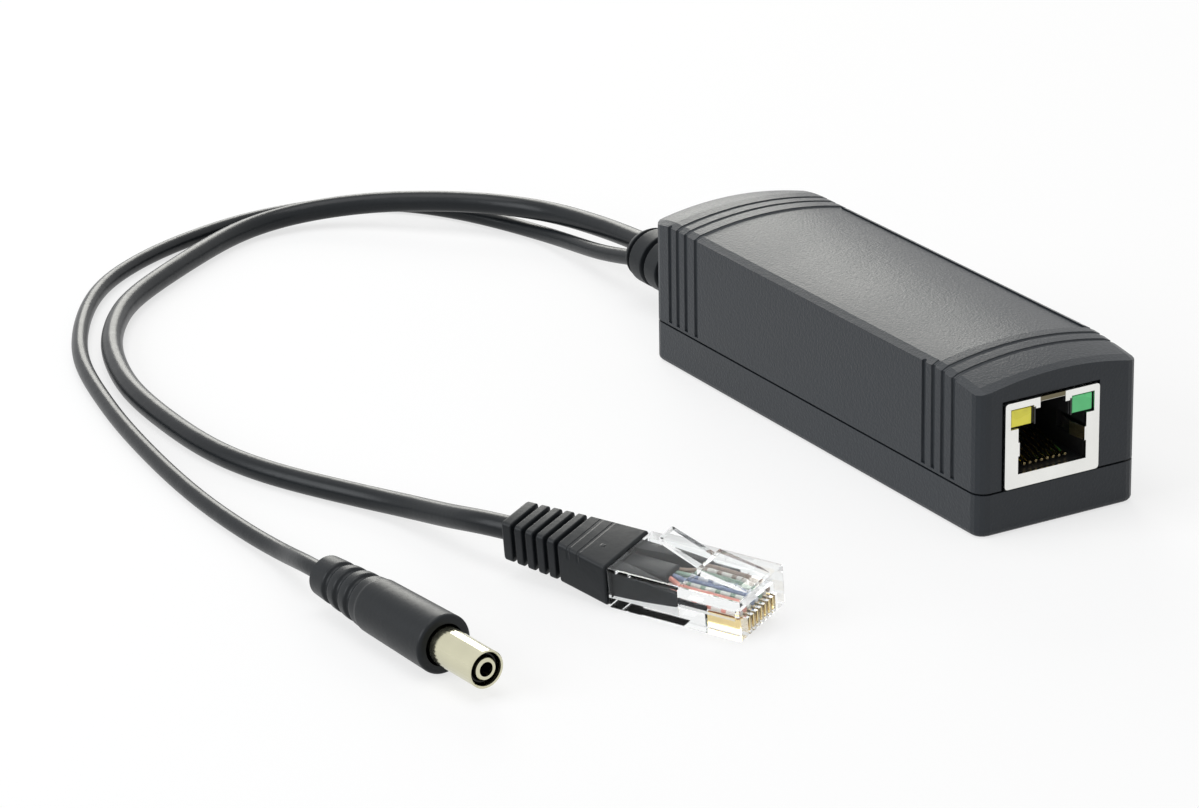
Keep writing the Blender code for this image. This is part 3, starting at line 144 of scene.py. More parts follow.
# Boot, in the plug's own frame: half width, foot and top at its rear, its shoulder and its front
BOOT_MARKS = (BOOT_REAR[0], -0.0308, -0.0218)
BOOT_HALF_WIDTHS = (0.0035, 0.0044, 0.00585)
BOOT_FEET = (-0.0016, -0.0021, -0.00315)
BOOT_TOPS = (0.0046, 0.0042, 0.00315)
BOOT_SLOTS = BOOT_MARKS[1] - 0.00194 * np.arange(5)
BOOT_SLOT_WIDTH = 0.0006
BOOT_SLOT_DEPTH = 0.0007
BOOT_SLOT_EDGE = 0.00004
BOOT_ROUND = 0.0004
BOOT_CORNER = 0.0006

# Faint marks on the boot's top, by centre, width and edge: two lines, and a dot along and across.
# The lines fade in between two heights, so that they stay off the sides
BOOT_LINES = ((-0.0286, 0.0003, 0.0002), (-0.0268, 0.0002, 0.0002))
BOOT_LINES_FADE = (0.0020, 0.0030)
BOOT_DOT = ((-0.0250, 0.0004, 0.0002), (-0.0012, 0.0004, 0.0002))

# Boot's prongs and sleeve inside the clear body, in the plug's own frame. A prong's inner side and
# half height stand at its rear, with what its curve and then its slim tip add to them; its outer
# side has no curve
INNER_REAR = -0.0222
PRONG_TIP = -0.0062
PRONG_LENGTH = 0.0116
PRONG_POWER = 1.6
PRONG_OUTER = (0.0044, -0.0001)
PRONG_INNER = (0.0020, 0.0016, 0.00036)
PRONG_HALF_HEIGHT = (0.0019, -0.0009, -0.0006)
PRONG_CORNER = 0.00014
SLIM_START = -0.0112
SLIM_LENGTH = 0.0010
SLEEVE_FRONT = -0.0142
SLEEVE_HALF = (0.0019, 0.0013)
SLEEVE_CORNER = 0.0007

# Cores, in the plug's own frame: they are gathered in the sleeve and fan out to the nose
CORE_ENDS = (-0.0224, -0.0018)
CORE_PITCH = 0.00102
CORE_RADIUS = 0.000375
CORE_GATHERED = 0.4
CORE_STAGGER = 0.0004
FAN_START = -0.0148
FAN_LENGTH = 0.0046
CORE_BAND = 0.0012

# Jack's front, in the model's frame: its plane and middle, the painted shade on the lip over the
# latch's notch, and the dark dividers between the mouth and the indicators; pairs are across and up
JACK_FRONT = 0.0445
JACK_MIDDLE = -0.00155
NOTCH_SHADE_HALF_WIDTH = 0.0021
NOTCH_SHADE_FOOT = 0.01925
DIVIDER_OFFSET = 0.00322
DIVIDER_HEIGHT = 0.0173
DIVIDER_SIZE = (0.0004, 0.0026)
FRONT_EDGE = 0.0001
NOTCH_SHADE_EDGES = (0.0002, 0.00015)
DIVIDER_EDGES = (0.0001, 0.0002)

# Camera, fitted to the photograph's view
CAMERA_SENSOR = 36.0
CAMERA_LENS = 147.47
CAMERA_NEAR = 0.01
CAMERA_PLACE = Matrix(((0.5107, -0.3028, 0.8047, 0.57582),
                       (0.8596, 0.1968, -0.4715, -0.38768),
                       (-0.0156, 0.9325, 0.3609, 0.27238),
                       (0.0, 0.0, 0.0, 1.0)))

# Lamps: name, place, target, size and tint; the name is also that of its power setting
LAMPS = (
    ("sheen", (-0.85, 0.345, 0.375), (0.0, 0.0, 0.02), 0.39, (1.0, 0.99, 0.93)),
    ("key", (-0.10, -0.15, 0.90), (-0.03, -0.04, 0.0), 0.7, (1.0, 1.0, 1.0)),
    ("fill", (-0.15, -0.90, 0.45), (-0.03, -0.04, 0.0), 0.6, (0.94, 0.97, 1.0)),
)
WHITE = (1.0, 1.0, 1.0, 1.0)
FLOOR_REACH = 4.0
FLOOR_LEVEL = -0.00005
FLOOR_WHITE = 0.7

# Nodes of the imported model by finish
CONTACTS = [f"{row}_{i + 1}" for row in ("jack_contact", "rj45_contact") for i in range(8)]
CHIPS = ("lan_transformer", "bridge_rectifier_1", "bridge_rectifier_2", "controller_ic",
         "switching_transistor", "output_diode")
CANS = ("input_capacitor", "output_capacitor", "output_inductor")
PLUG_METAL = ("dc_plug_sleeve", "dc_plug_tip")
INNER_BLACK = (0.012, 0.012, 0.013)
# Dull bronze tone painted as shade on the recessed lip over the jack's notch
NOTCH_LIP_SHADE = (0.16, 0.14, 0.09)
DIVIDER_BLACK = (0.01, 0.01, 0.01)
CORE_COLOURS = (
    ("core_white_orange", (0.66, 0.60, 0.57), (0.62, 0.24, 0.19)),
    ("core_orange", (0.62, 0.24, 0.19), (0.62, 0.24, 0.19)),
    ("core_white_green", (0.62, 0.65, 0.61), (0.20, 0.30, 0.23)),
    ("core_blue", (0.16, 0.20, 0.32), (0.16, 0.20, 0.32)),
    ("core_white_blue", (0.60, 0.62, 0.66), (0.16, 0.20, 0.32)),
    ("core_green", (0.20, 0.30, 0.23), (0.20, 0.30, 0.23)),
    ("core_white_brown", (0.64, 0.61, 0.57), (0.24, 0.17, 0.13)),
    ("core_brown", (0.24, 0.17, 0.13), (0.24, 0.17, 0.13)),
)


# Shader maths

class Value:
    """What a socket gives at each point; arithmetic on a number adds the Math nodes."""

    def __init__(self, look, socket):
        self.look = look
        self.socket = socket

    def joined(self, operation, other, own_first=True):
        """This value and another in one Math node, in either order."""
        pair = (self, other) if own_first else (other, self)
        return self.look.node("ShaderNodeMath", {"operation": operation}, dict(enumerate(pair)))

    def __add__(self, other):
        return self.joined("ADD", other)

    def __radd__(self, other):
        return self.joined("ADD", other, False)

    def __sub__(self, other):
        return self.joined("SUBTRACT", other)

    def __rsub__(self, other):
        return self.joined("SUBTRACT", other, False)

    def __mul__(self, other):
        return self.joined("MULTIPLY", other)

    def __rmul__(self, other):
        return self.joined("MULTIPLY", other, False)

    def absolute(self):
        """How far the value is from zero."""
        return self.joined("ABSOLUTE", 0.0)

    def step(self, low, high):
        """Zero below low, one above high, and a smooth rise between."""
        return self.look.node("ShaderNodeMapRange", {"interpolation_type": "SMOOTHSTEP"},
                              {"Value": self, "From Min": low, "From Max": high})


class Nodes:
    """The nodes of a material or of the world, and the one method that adds any other node."""

    def __init__(self, owner):
        owner.use_nodes = True
        self.tree = owner.node_tree

    def node(self, kind, options=None, inputs=None, output=0):
        """A node of a type: its options are set first, then its sockets get values or links."""
        node = self.tree.nodes.new(kind)
        for key, value in (options or {}).items():
            setattr(node, key, value)
        for key, value in (inputs or {}).items():
            self.feed(node.inputs[key], value)
        return Value(self, node.outputs[output])

    def feed(self, socket, value):
        """Link a worked-out value to a socket, or set a plain one on it."""
        if isinstance(value, Value):
            self.tree.links.new(value.socket, socket)
        else:
            socket.default_value = value

    def seen(self):
        """One for rays from the camera, off gloss and through glass, and zero for all others."""
        rays = [self.node("ShaderNodeLightPath", None, None, f"Is {kind} Ray")
                for kind in ("Camera", "Glossy", "Transmission")]
        return rays[0].joined("MAXIMUM", rays[1]).joined("MAXIMUM", rays[2])


class Look(Nodes):
    """One material, made by its Principled shader."""

    def __init__(self, name):
        self.material = bpy.data.materials.new(name)
        super().__init__(self.material)
        self.shader = self.tree.nodes["Principled BSDF"]

    def set(self, **sockets):
        """Feed the Principled shader's sockets, named with underscores for spaces."""
        for key, value in sockets.items():
            self.feed(self.shader.inputs[key.replace("_", " ")], value)
        return self

    def place(self, scale=None):
        """Object coordinates in metres, stretched for a pattern where a scale is given."""
        spot = self.node("ShaderNodeTexCoord", output=3)
        if scale is None:
            return spot
        return self.node("ShaderNodeMapping", None, {"Vector": spot, "Scale": scale})

    def axis(self, index):
        """One Object coordinate, in metres."""
        return self.node("ShaderNodeSeparateXYZ", None, {0: self.place()}, index)

    def local(self, matrix, index):
        """One coordinate in a plug's own frame: each Object coordinate's share along its axis."""
        along = matrix.to_3x3().col[index]
        parts = [self.axis(i) * along[i] for i in range(3)]
        return parts[0] + parts[1] + parts[2] - matrix.translation.dot(along)

    def window(self, value, centre, width, edge):
        """One where a value is within half a width of a centre, and zero past its edge."""
        return 1.0 - (value - centre).absolute().step(width / 2, width / 2 + edge)

    def noise(self, place, scale, detail=2.0, distortion=0.0):
        """Noise from 0 to 1, with features about 1/scale metres across."""
        return self.node("ShaderNodeTexNoise", None, {"Vector": place, "Scale": scale,
                                                      "Detail": detail, "Distortion": distortion})

    def mixed(self, share, first, second):
        """A colour between two colours, by a share from 0 to 1."""
        first, second = (c if isinstance(c, Value) else (*c, 1.0) for c in (first, second))
        return self.node("ShaderNodeMix", {"data_type": "RGBA"}, {0: share, 6: first, 7: second}, 2)

    def toned(self, colour, low, high, share):
        """A colour that swings between darker and lighter tones of itself."""
        return self.mixed(share, [low * c for c in colour], [min(high * c, 1.0) for c in colour])

    def bump(self, height, depth, strength):
        """A normal from a height of 0 to 1 that stands depth metres tall."""
        return self.node("ShaderNodeBump", None, {"Height": height, "Distance": depth,
                                                  "Strength": strength})


# Finishes

def moulded_plastic(name, colour, roughness, depth=0.00003):
    """Moulded plastic with a spark-eroded skin: fine grain, and slow changes of tone and gloss."""
    look = Look(name)
    spot = look.place()
    grain = look.noise(spot, 2600.0, 3.0)
    slow = look.noise(spot, 45.0, 2.0)
    return look.set(Base_Color=look.toned(colour, 0.85, 1.18, slow),
                    Roughness=roughness + 0.12 * (grain - 0.5) + 0.10 * (slow - 0.5),
                    Normal=look.bump(grain, depth, 0.6), Specular_IOR_Level=0.33)


def soft_moulding(name, colour, roughness, mottle):
    """Soft PVC or rubber: a waxy skin with slow mottled gloss and a faint unevenness."""
    look = Look(name)
    spot = look.place()
    slow = look.noise(spot, 180.0, 3.0, 0.6)
    fine = look.noise(spot, 1800.0, 2.0)
    look.skin = slow + 0.15 * fine
    return look.set(Base_Color=look.toned(colour, 1.0 - mottle, 1.0 + mottle, slow),
                    Roughness=roughness + 0.5 * mottle * (slow - 0.5) + 0.06 * (fine - 0.5),
                    Normal=look.bump(look.skin, 0.00020, 0.45), Specular_IOR_Level=0.25)


def plated_metal(name, colour, roughness, stretch):
    """Plated sheet or turned metal: drawn lines along one way, and a slightly cloudy plating."""
    look = Look(name)
    lines = look.noise(look.place(stretch), 900.0, 3.0)
    cloud = look.noise(look.place(), 220.0, 2.0)
    look.tint = look.toned(colour, 0.9, 1.06, cloud)
    return look.set(Base_Color=look.tint, Metallic=1.0,
                    Roughness=roughness + 0.12 * (lines - 0.5) + 0.08 * (cloud - 0.5),
                    Normal=look.bump(lines, 0.000006, 0.5))


def lamp_plastic(name, colour):
    """Tinted epoxy of an indicator, paler and darker in cloudy patches."""
    look = Look(name)
    cloud = look.noise(look.place(), 420.0, 1.0)
    tint = look.toned(colour, 0.8, 1.25, cloud)
    # The faint emission in its own colour is a painted glow, standing in for light scattered through
    # the epoxy
    return look.set(Base_Color=tint, Roughness=0.22 + 0.1 * cloud, Emission_Color=tint,
                    Emission_Strength=0.15, IOR=1.5)


def clear_plastic(name):
    """Clear moulded plastic with faint flow lines along the plug."""
    look = Look(name)
    flow = look.noise(look.place((0.25, 1.0, 1.0)), 500.0, 1.0)
    return look.set(Base_Color=look.toned((0.97, 0.99, 0.99), 0.97, 1.03, flow),
                    Roughness=0.02 + 0.04 * flow, IOR=1.22, Transmission_Weight=1.0,
                    Normal=look.bump(flow, 0.00002, 0.3))


def core_insulation(name, colours):
    """Insulation of one core; a striped core has its second colour as short bands along it."""
    look = Look(name)
    along = look.local(plug_matrix(NETWORK_PLUG), 0)
    band = along.joined("PINGPONG", CORE_BAND) * (1 / CORE_BAND)
    return look.set(Base_Color=look.mixed(band.step(0.62, 0.72), *colours), Roughness=0.38)


def board_laminate(name, colour):
    """Solder resist over copper: thin lighter tracks with rounded corners under a glossy coat."""
    look = Look(name)
    cells = look.node("ShaderNodeTexVoronoi", {"feature": "DISTANCE_TO_EDGE"},
                      {"Vector": look.place(), "Scale": 380.0})
    track = 1.0 - cells.step(0.05, 0.09)
    return look.set(Base_Color=look.mixed(track, colour, [2.2 * c for c in colour]), Roughness=0.3,
                    Coat_Weight=0.4, Normal=look.bump(track, 0.00003, 0.5))


# Surfaces

def mesh_object(name, vertices, faces):
    """A mesh object from places and faces, shaded smooth where the surface is nearly flat."""
    mesh = bpy.data.meshes.new(name)
    mesh.from_pydata(vertices, [], faces)
    mesh.shade_smooth()
    mesh.set_sharp_from_angle(angle=math.radians(40))
    result = bpy.data.objects.new(name, mesh)
    bpy.context.scene.collection.objects.link(result)
    return result


def ring_surface(name, *shells):
    """One piece of closed skins over rings of points; a shell is an array of (ring, point, axis).

    Each ring closes on itself; point j of ring i joins point j of ring i + 1. The first and last
    rings are filled by one flat face each. Rings run so that the faces look outwards: a quad goes
    along the piece first and round it second."""
    faces, start = [], 0
    for rings in shells:
        index = start + np.arange(rings.shape[0] * rings.shape[1]).reshape(rings.shape[:2])
        after = np.roll(index, -1, axis=1)
        quads = np.stack((index[:-1], index[1:], after[1:], after[:-1]), axis=-1).reshape(-1, 4)
        faces += quads.tolist() + [index[0].tolist(), index[-1][::-1].tolist()]
        start += index.size
    return mesh_object(name, np.vstack([rings.reshape(-1, 3) for rings in shells]), faces)


def smooth_path(points, spacing):
    """Evenly spaced points on a smooth curve through the given ones.

    Each span blends its two ends and their neighbours by the cubic Catmull-Rom weights of t. The
    dense line is then walked, and a point is taken at every equal step of its length. At last each
    point moves to the mean of its neighbours, weighted by a bell curve as wide as a stiff jacket
    evens out; beyond its ends the line is mirrored through them, so that they stay."""
    points = np.asarray(points, float)
    padded = np.vstack((2 * points[0] - points[1], points, 2 * points[-1] - points[-2]))[:, None]
    before, start, end, after = padded[:-3], padded[1:-2], padded[2:-1], padded[3:]
    t = np.linspace(0.0, 1.0, 24, endpoint=False)[:, None]
    slope, bend = end - before, 2 * before - 5 * start + 4 * end - after
    twist = 3 * start - before - 3 * end + after
    spans = 0.5 * (2 * start + slope * t + bend * t ** 2 + twist * t ** 3)
    line = np.vstack((spans.reshape(-1, 3), points[-1]))
    walked = np.concatenate(([0.0], np.cumsum(np.linalg.norm(np.diff(line, axis=0), axis=1))))
    stations = np.linspace(0.0, walked[-1], max(2, round(walked[-1] / spacing)) + 1)
    even = np.column_stack([np.interp(stations, walked, line[:, axis]) for axis in range(3)])
    reach = round(JACKET_REACH / spacing)
    weights = np.exp(-0.5 * (np.arange(-reach, reach + 1) * spacing / JACKET_BELL) ** 2)
    longer = np.vstack((2 * even[0] - even[reach:0:-1], even,
                        2 * even[-1] - even[-2:-reach - 2:-1]))
    return np.column_stack([np.convolve(longer[:, axis], weights / weights.sum(), "valid")
                            for axis in range(3)])


def tube_rings(path, radius, around):
    """Circles square to a path.

    At each point the sideways direction is the tangent crossed with up, and the ring's own up is
    sideways crossed with the tangent; a ring is radius times (cosine sideways + sine up)."""
    tangent = np.gradient(path, axis=0)
    tangent /= np.linalg.norm(tangent, axis=1, keepdims=True)
    sideways = np.cross(tangent, (0.0, 0.0, 1.0))
    sideways /= np.linalg.norm(sideways, axis=1, keepdims=True)
    upwards = np.cross(sideways, tangent)
    angle = np.linspace(0.0, 2 * math.pi, around, endpoint=False)[None, :, None]
    ring = np.cos(angle) * sideways[:, None] + np.sin(angle) * upwards[:, None]
    return path[:, None] + radius * ring


def turned_rings(stations, radii, around, oval=1.0):
    """Rings of a body turned about X: at each station a circle of its radius, widened by oval.

    The angle runs backwards, so that ring_surface's faces look outwards."""
    angle = -np.linspace(0.0, 2 * math.pi, around, endpoint=False)[None, :]
    x = np.broadcast_to(stations[:, None], (len(stations), around))
    y = oval * radii[:, None] * np.cos(angle)
    z = radii[:, None] * np.sin(angle)
    return np.stack((x, y, z), axis=-1)


def boxed_rings(stations, low, high, edge, arc=5):
    """Rings of rounded rectangles: low and high hold each ring's least and greatest y and z.

    A corner's arc is centred one edge radius inside both sides. The angle runs backwards, so that
    ring_surface's faces look outwards."""
    quarter = np.repeat(np.arange(4), arc)
    angle = -(quarter + np.tile(np.linspace(0.0, 1.0, arc), 4)) * math.pi / 2
    middle = -(quarter + 0.5) * math.pi / 2
    centre, half = (low + high) / 2, (high - low) / 2 - edge
    y = centre[:, :1] + half[:, :1] * np.sign(np.cos(middle)) + edge * np.cos(angle)
    z = centre[:, 1:] + half[:, 1:] * np.sign(np.sin(middle)) + edge * np.sin(angle)
    x = np.broadcast_to(stations[:, None], y.shape)
    return np.stack((x, y, z), axis=-1)


def eased(stations, first, last, edge):
    """How far a ring draws in near a body's two ends, so that its end edges are round.

    It is the edge's radius less the height of that circle, at how far a station lies into it."""
    near = np.clip(edge - np.minimum(stations - first, last - stations), 0.0, edge)
    return edge - np.sqrt(edge ** 2 - near ** 2)


def smooth_step(share_on):
    """Zero below zero, one above one, and three squares less two cubes of the share between."""
    share_on = np.clip(share_on, 0.0, 1.0)
    return share_on * share_on * (3 - 2 * share_on)


def slot_depth(stations, centres, width, edge):
    """How deep each station lies in the nearest slot, from 0 to 1.

    The depth is a logistic step of how far a station lies inside the slot's half width; the edge
    is the length over which the step turns."""
    inside = width / 2 - np.abs(stations[:, None] - np.asarray(centres)[None, :])
    return (1 / (1 + np.exp(-inside / edge))).max(axis=1)


def plug_matrix(place):
    """The matrix of a plug's own frame: its +X is its nose or tip."""
    position, turn = place
    return (Matrix.Translation(position)
            @ Euler([math.radians(angle) for angle in turn], "XYZ").to_matrix().to_4x4())


def moved(points, matrix):
    """Points taken from a plug's own frame to the model's."""
    turn = np.array(matrix.to_3x3())
    return np.asarray(points) @ turn.T + np.array(matrix.translation)


def dressed(thing, look, nodes):
    """Give a new piece its material, let it ride, and hide the nodes that it stands for.

    The nodes that it stands for get the same material."""
    thing.data.materials.clear()
    thing.data.materials.append(look.material)
    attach(thing, "root")
    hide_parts(*nodes)
    finished(nodes, look)
    return thing


def finished(nodes, look):
    """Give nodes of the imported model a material."""
    for name in nodes:
        data = frame["nodes"][name].data
        data.materials.clear()
        data.materials.append(look.material)


# Sizes and colours that a user may change

def length_setting(name, description, default):
    """A length property in metres."""
    return FloatProperty(name=name, description=description, default=default, min=0.0001, max=1.0,
                         precision=5, unit="LENGTH")


def colour_setting(name, description, default):
    """A colour property."""
    return FloatVectorProperty(name=name, description=description, default=default, size=3, min=0.0,
                               max=1.0, subtype="COLOR")


def share_setting(name, description, default):
    """A plain number property from 0 to 1."""
    return FloatProperty(name=name, description=description, default=default, min=0.0, max=1.0,
                         subtype="FACTOR")


def power_setting(name, description, default):
    """A lamp's power property in watts."""
    return FloatProperty(name=name, description=description, default=default, min=0.0, max=100.0,
                         unit="POWER")


class AdapterLeads(PropertyGroup):
    """The two leads."""
    network_diameter: length_setting("Network lead", "Thickness of the network lead", 0.0035)
    power_diameter: length_setting("Power lead", "Thickness of the power lead", 0.0026)
    jacket: colour_setting("Jacket", "Colour of both leads", (0.006, 0.008, 0.010))
    roughness: share_setting("Roughness", "How matt the jacket is", 0.31)


class AdapterHousing(PropertyGroup):
    """The two housing shells."""
    shell: colour_setting("Shell", "Colour of the moulded shells", (0.016, 0.020, 0.025))
    roughness: share_setting("Roughness", "How matt the shells are", 0.40)
    grain: length_setting("Grain", "Depth of the moulded grain", 0.0001)


class AdapterMouldings(PropertyGroup):
    """The strain relief, the boot and the power plug's moulding."""
    relief_radius: length_setting("Relief radius", "Radius of the relief at the housing", 0.0046)
    relief_slot: length_setting("Relief slot", "Depth of the relief's ring slots", 0.0009)
    moulding_radius: length_setting("Grip radius", "Radius of the power plug's front", 0.0043)
    rubber: colour_setting("Rubber", "Colour of the relief and the boot", (0.006, 0.008, 0.010))
    grip: colour_setting("Grip", "Colour of the power plug's moulding", (0.006, 0.008, 0.010))


class AdapterMetals(PropertyGroup):
    """The jack's shield, the contacts and the power plug's metal."""
    nickel: colour_setting("Nickel", "Colour of the jack's shield", (0.84, 0.84, 0.81))
    barrel: colour_setting("Barrel", "Colour of the power plug's metal", (0.64, 0.62, 0.46))
    gold: colour_setting("Gold", "Colour of the gold contacts", (0.88, 0.70, 0.36))


class AdapterStage(PropertyGroup):
    """The floor and the lamps."""
    floor: colour_setting("Floor", "Colour of the floor", (0.92, 0.92, 0.92))
    sheen: power_setting("Sheen lamp", "Power of the lamp behind the object", 2.7)
    key: power_setting("Key lamp", "Power of the large lamp over the object", 3.7)
    fill: power_setting("Fill lamp", "Power of the lamp beside the object", 4.4)
    ambient: share_setting("Ambient", "Strength of the light from all round", 0.40)


GROUPS = {"leads": AdapterLeads, "housing": AdapterHousing, "mouldings": AdapterMouldings,
          "metals": AdapterMetals, "stage": AdapterStage}


def settings(group):
    """One group of the scene's settings."""
    return getattr(bpy.context.scene, f"adapter_{group}")


# Operators

class ADAPTER_OT_camera(Operator):
    """Set up the camera at the photograph's angle"""
    bl_idname = "adapter.camera"
    bl_label = "Camera"

    def execute(self, context):
        data = bpy.data.cameras.new("camera")
        data.sensor_fit = "HORIZONTAL"
        data.sensor_width = CAMERA_SENSOR
        data.lens = CAMERA_LENS
        data.clip_start = CAMERA_NEAR
        camera = bpy.data.objects.new("camera", data)
        context.scene.collection.objects.link(camera)
        camera.matrix_world = CAMERA_PLACE
        context.scene.camera = camera
        return {"FINISHED"}


class ADAPTER_OT_leads(Operator):
    """Lay both leads from the strain relief to their plugs"""
    bl_idname = "adapter.leads"
    bl_label = "Leads"

    def lay(self, name, node, start, route, plug, entry, diameter, look, carried):
        """One lead: a tube along a smooth path that begins and ends inside what holds it."""
        matrix = plug_matrix(plug)
        tail, along = np.array(entry), np.array((1.0, 0.0, 0.0))
        ends = moved([tail - LEAD_STRAIGHT * along, tail - LEAD_CLEAR * along], matrix)
        path = smooth_path(np.vstack((start, route, ends)), diameter / 3)
        sunk = np.vstack((path[0] + LEAD_SUNK * along, path,
                          moved([tail + LEAD_SUNK * along], matrix)))
        rings = tube_rings(sunk, diameter / 2, LEAD_AROUND)
        lead = dressed(ring_surface(name, rings), look, (node,))

    def execute(self, context):
        sizes = settings("leads")
        look = soft_moulding("lead_jacket", sizes.jacket, sizes.roughness, mottle=0.12)
        nodes = frame["nodes"]
        network = [bpy.data.objects["plug_boot"], nodes["rj45_plug_body"]]
        network += [nodes[f"rj45_contact_{i + 1}"] for i in range(8)]
        network += [bpy.data.objects[f"plug_core_{i + 1}"] for i in range(8)]
        power = [bpy.data.objects["power_plug_grip"]]
        power += [nodes[name] for name in (*PLUG_METAL, "dc_plug_insulator")]
        front, height = RELIEF_TIP[0] - LEAD_CLEAR, RELIEF_TIP[2]
        self.lay("network_lead", "ethernet_cable", (front, LEAD_SPREAD, height), NETWORK_ROUTE,
                 NETWORK_PLUG, BOOT_REAR, sizes.network_diameter, look, network)
        self.lay("power_lead", "power_cable", (front, -LEAD_SPREAD, height - POWER_LEAD_DROP),
                 POWER_ROUTE, POWER_PLUG, MOULDING_REAR, sizes.power_diameter, look, power)
        return {"FINISHED"}


class ADAPTER_OT_strain_relief(Operator):
    """Shape the rubber strain relief at the rear of the housing"""
    bl_idname = "adapter.strain_relief"
    bl_label = "Strain relief"

    def profile(self, full, slot):
        """The relief's x and radius, from its tip to the collar behind the housing's wall.

        The nose grows from the tip's radius to the full one by the cosine of a quarter turn, and
        the slots are smooth narrowings. In the wall the neck is as thin as the tip."""
        tip, small = RELIEF_TIP[0], RELIEF_TIP_RADIUS
        along, across = END_BEVEL
        outside = np.linspace(tip + along, RELIEF_WALL, 420)
        nose = np.clip(1.0 - (outside - tip) / RELIEF_NOSE, 0.0, 1.0)
        radii = small + (full - small) * np.cos(nose * math.pi / 2)
        radii -= slot * slot_depth(outside, RELIEF_SLOTS, RELIEF_SLOT_WIDTH, RELIEF_SLOT_EDGE)
        back, end = RELIEF_COLLAR
        return (np.concatenate(([tip, tip], outside, [RELIEF_WALL, back, back, end])),
                np.concatenate(([small - 3 * across, small - across], radii,
                                [small, small, RELIEF_COLLAR_RADIUS, RELIEF_COLLAR_RADIUS])))

    def execute(self, context):
        sizes = settings("mouldings")
        x, radii = self.profile(sizes.relief_radius, sizes.relief_slot)
        rings = turned_rings(x, radii, 64, RELIEF_OVAL) + (0.0, 0.0, RELIEF_TIP[2])
        look = soft_moulding("relief_rubber", sizes.rubber, roughness=0.46, mottle=0.15)
        dressed(ring_surface("strain_relief", rings), look, ("cable_gland",))
        return {"FINISHED"}


class ADAPTER_OT_power_plug(Operator):
    """Shape the power plug's grip and finish its metal"""
    bl_idname = "adapter.power_plug"
    bl_label = "Power plug"

    def profile(self, front):
        """The grip's x and radius: two cones with a small step between, slots, and a mouth.

        Radii grow evenly from the tail to the shoulder, and from there to the front. The step is
        a logistic one that fades towards the front, and the front's edge is a quarter circle."""
        rear, shoulder = GRIP_REAR, GRIP_SHOULDER
        along, across = END_BEVEL
        x = np.linspace(rear + along, -GRIP_ROUND, 520)
        behind = GRIP_TAIL + (GRIP_WAIST - GRIP_TAIL) * (x - rear) / (shoulder - rear)
        ahead = GRIP_WAIST + (front - GRIP_WAIST) * (x - shoulder) / -shoulder
        step = GRIP_STEP / (1 + np.exp((shoulder - x) / GRIP_STEP_EDGE))
        radii = np.where(x < shoulder, behind, ahead) + step * np.clip(x / shoulder, 0.0, 1.0)
        radii -= GRIP_SLOT_DEPTH * slot_depth(x, GRIP_SLOTS, GRIP_SLOT_WIDTH, GRIP_SLOT_EDGE)
        turn = np.linspace(0.0, math.pi / 2, 6)
        edge_x, edge_r = GRIP_ROUND * (np.sin(turn) - 1), front - GRIP_ROUND * (1 - np.cos(turn))
        return (np.concatenate(([rear], x, edge_x, [0.0, -GRIP_MOUTH_DEPTH])),
                np.concatenate(([GRIP_TAIL - across], radii, edge_r, [GRIP_MOUTH_RADIUS] * 2)))

    def execute(self, context):
        sizes, metals = settings("mouldings"), settings("metals")
        rings = turned_rings(*self.profile(sizes.moulding_radius), 72)
        grip = ring_surface("power_plug_grip", moved(rings, plug_matrix(POWER_PLUG)))
        look = soft_moulding("grip_moulding", sizes.grip, roughness=0.40, mottle=0.30)
        dressed(grip, look, ("dc_plug_moulding",))
        finished(PLUG_METAL, plated_metal("barrel_nickel", metals.barrel, roughness=0.16,
                                          stretch=(0.05, 1.0, 1.0)))
        finished(("dc_plug_insulator",),
                 moulded_plastic("insulator_black", INNER_BLACK, roughness=0.5))
        return {"FINISHED"}


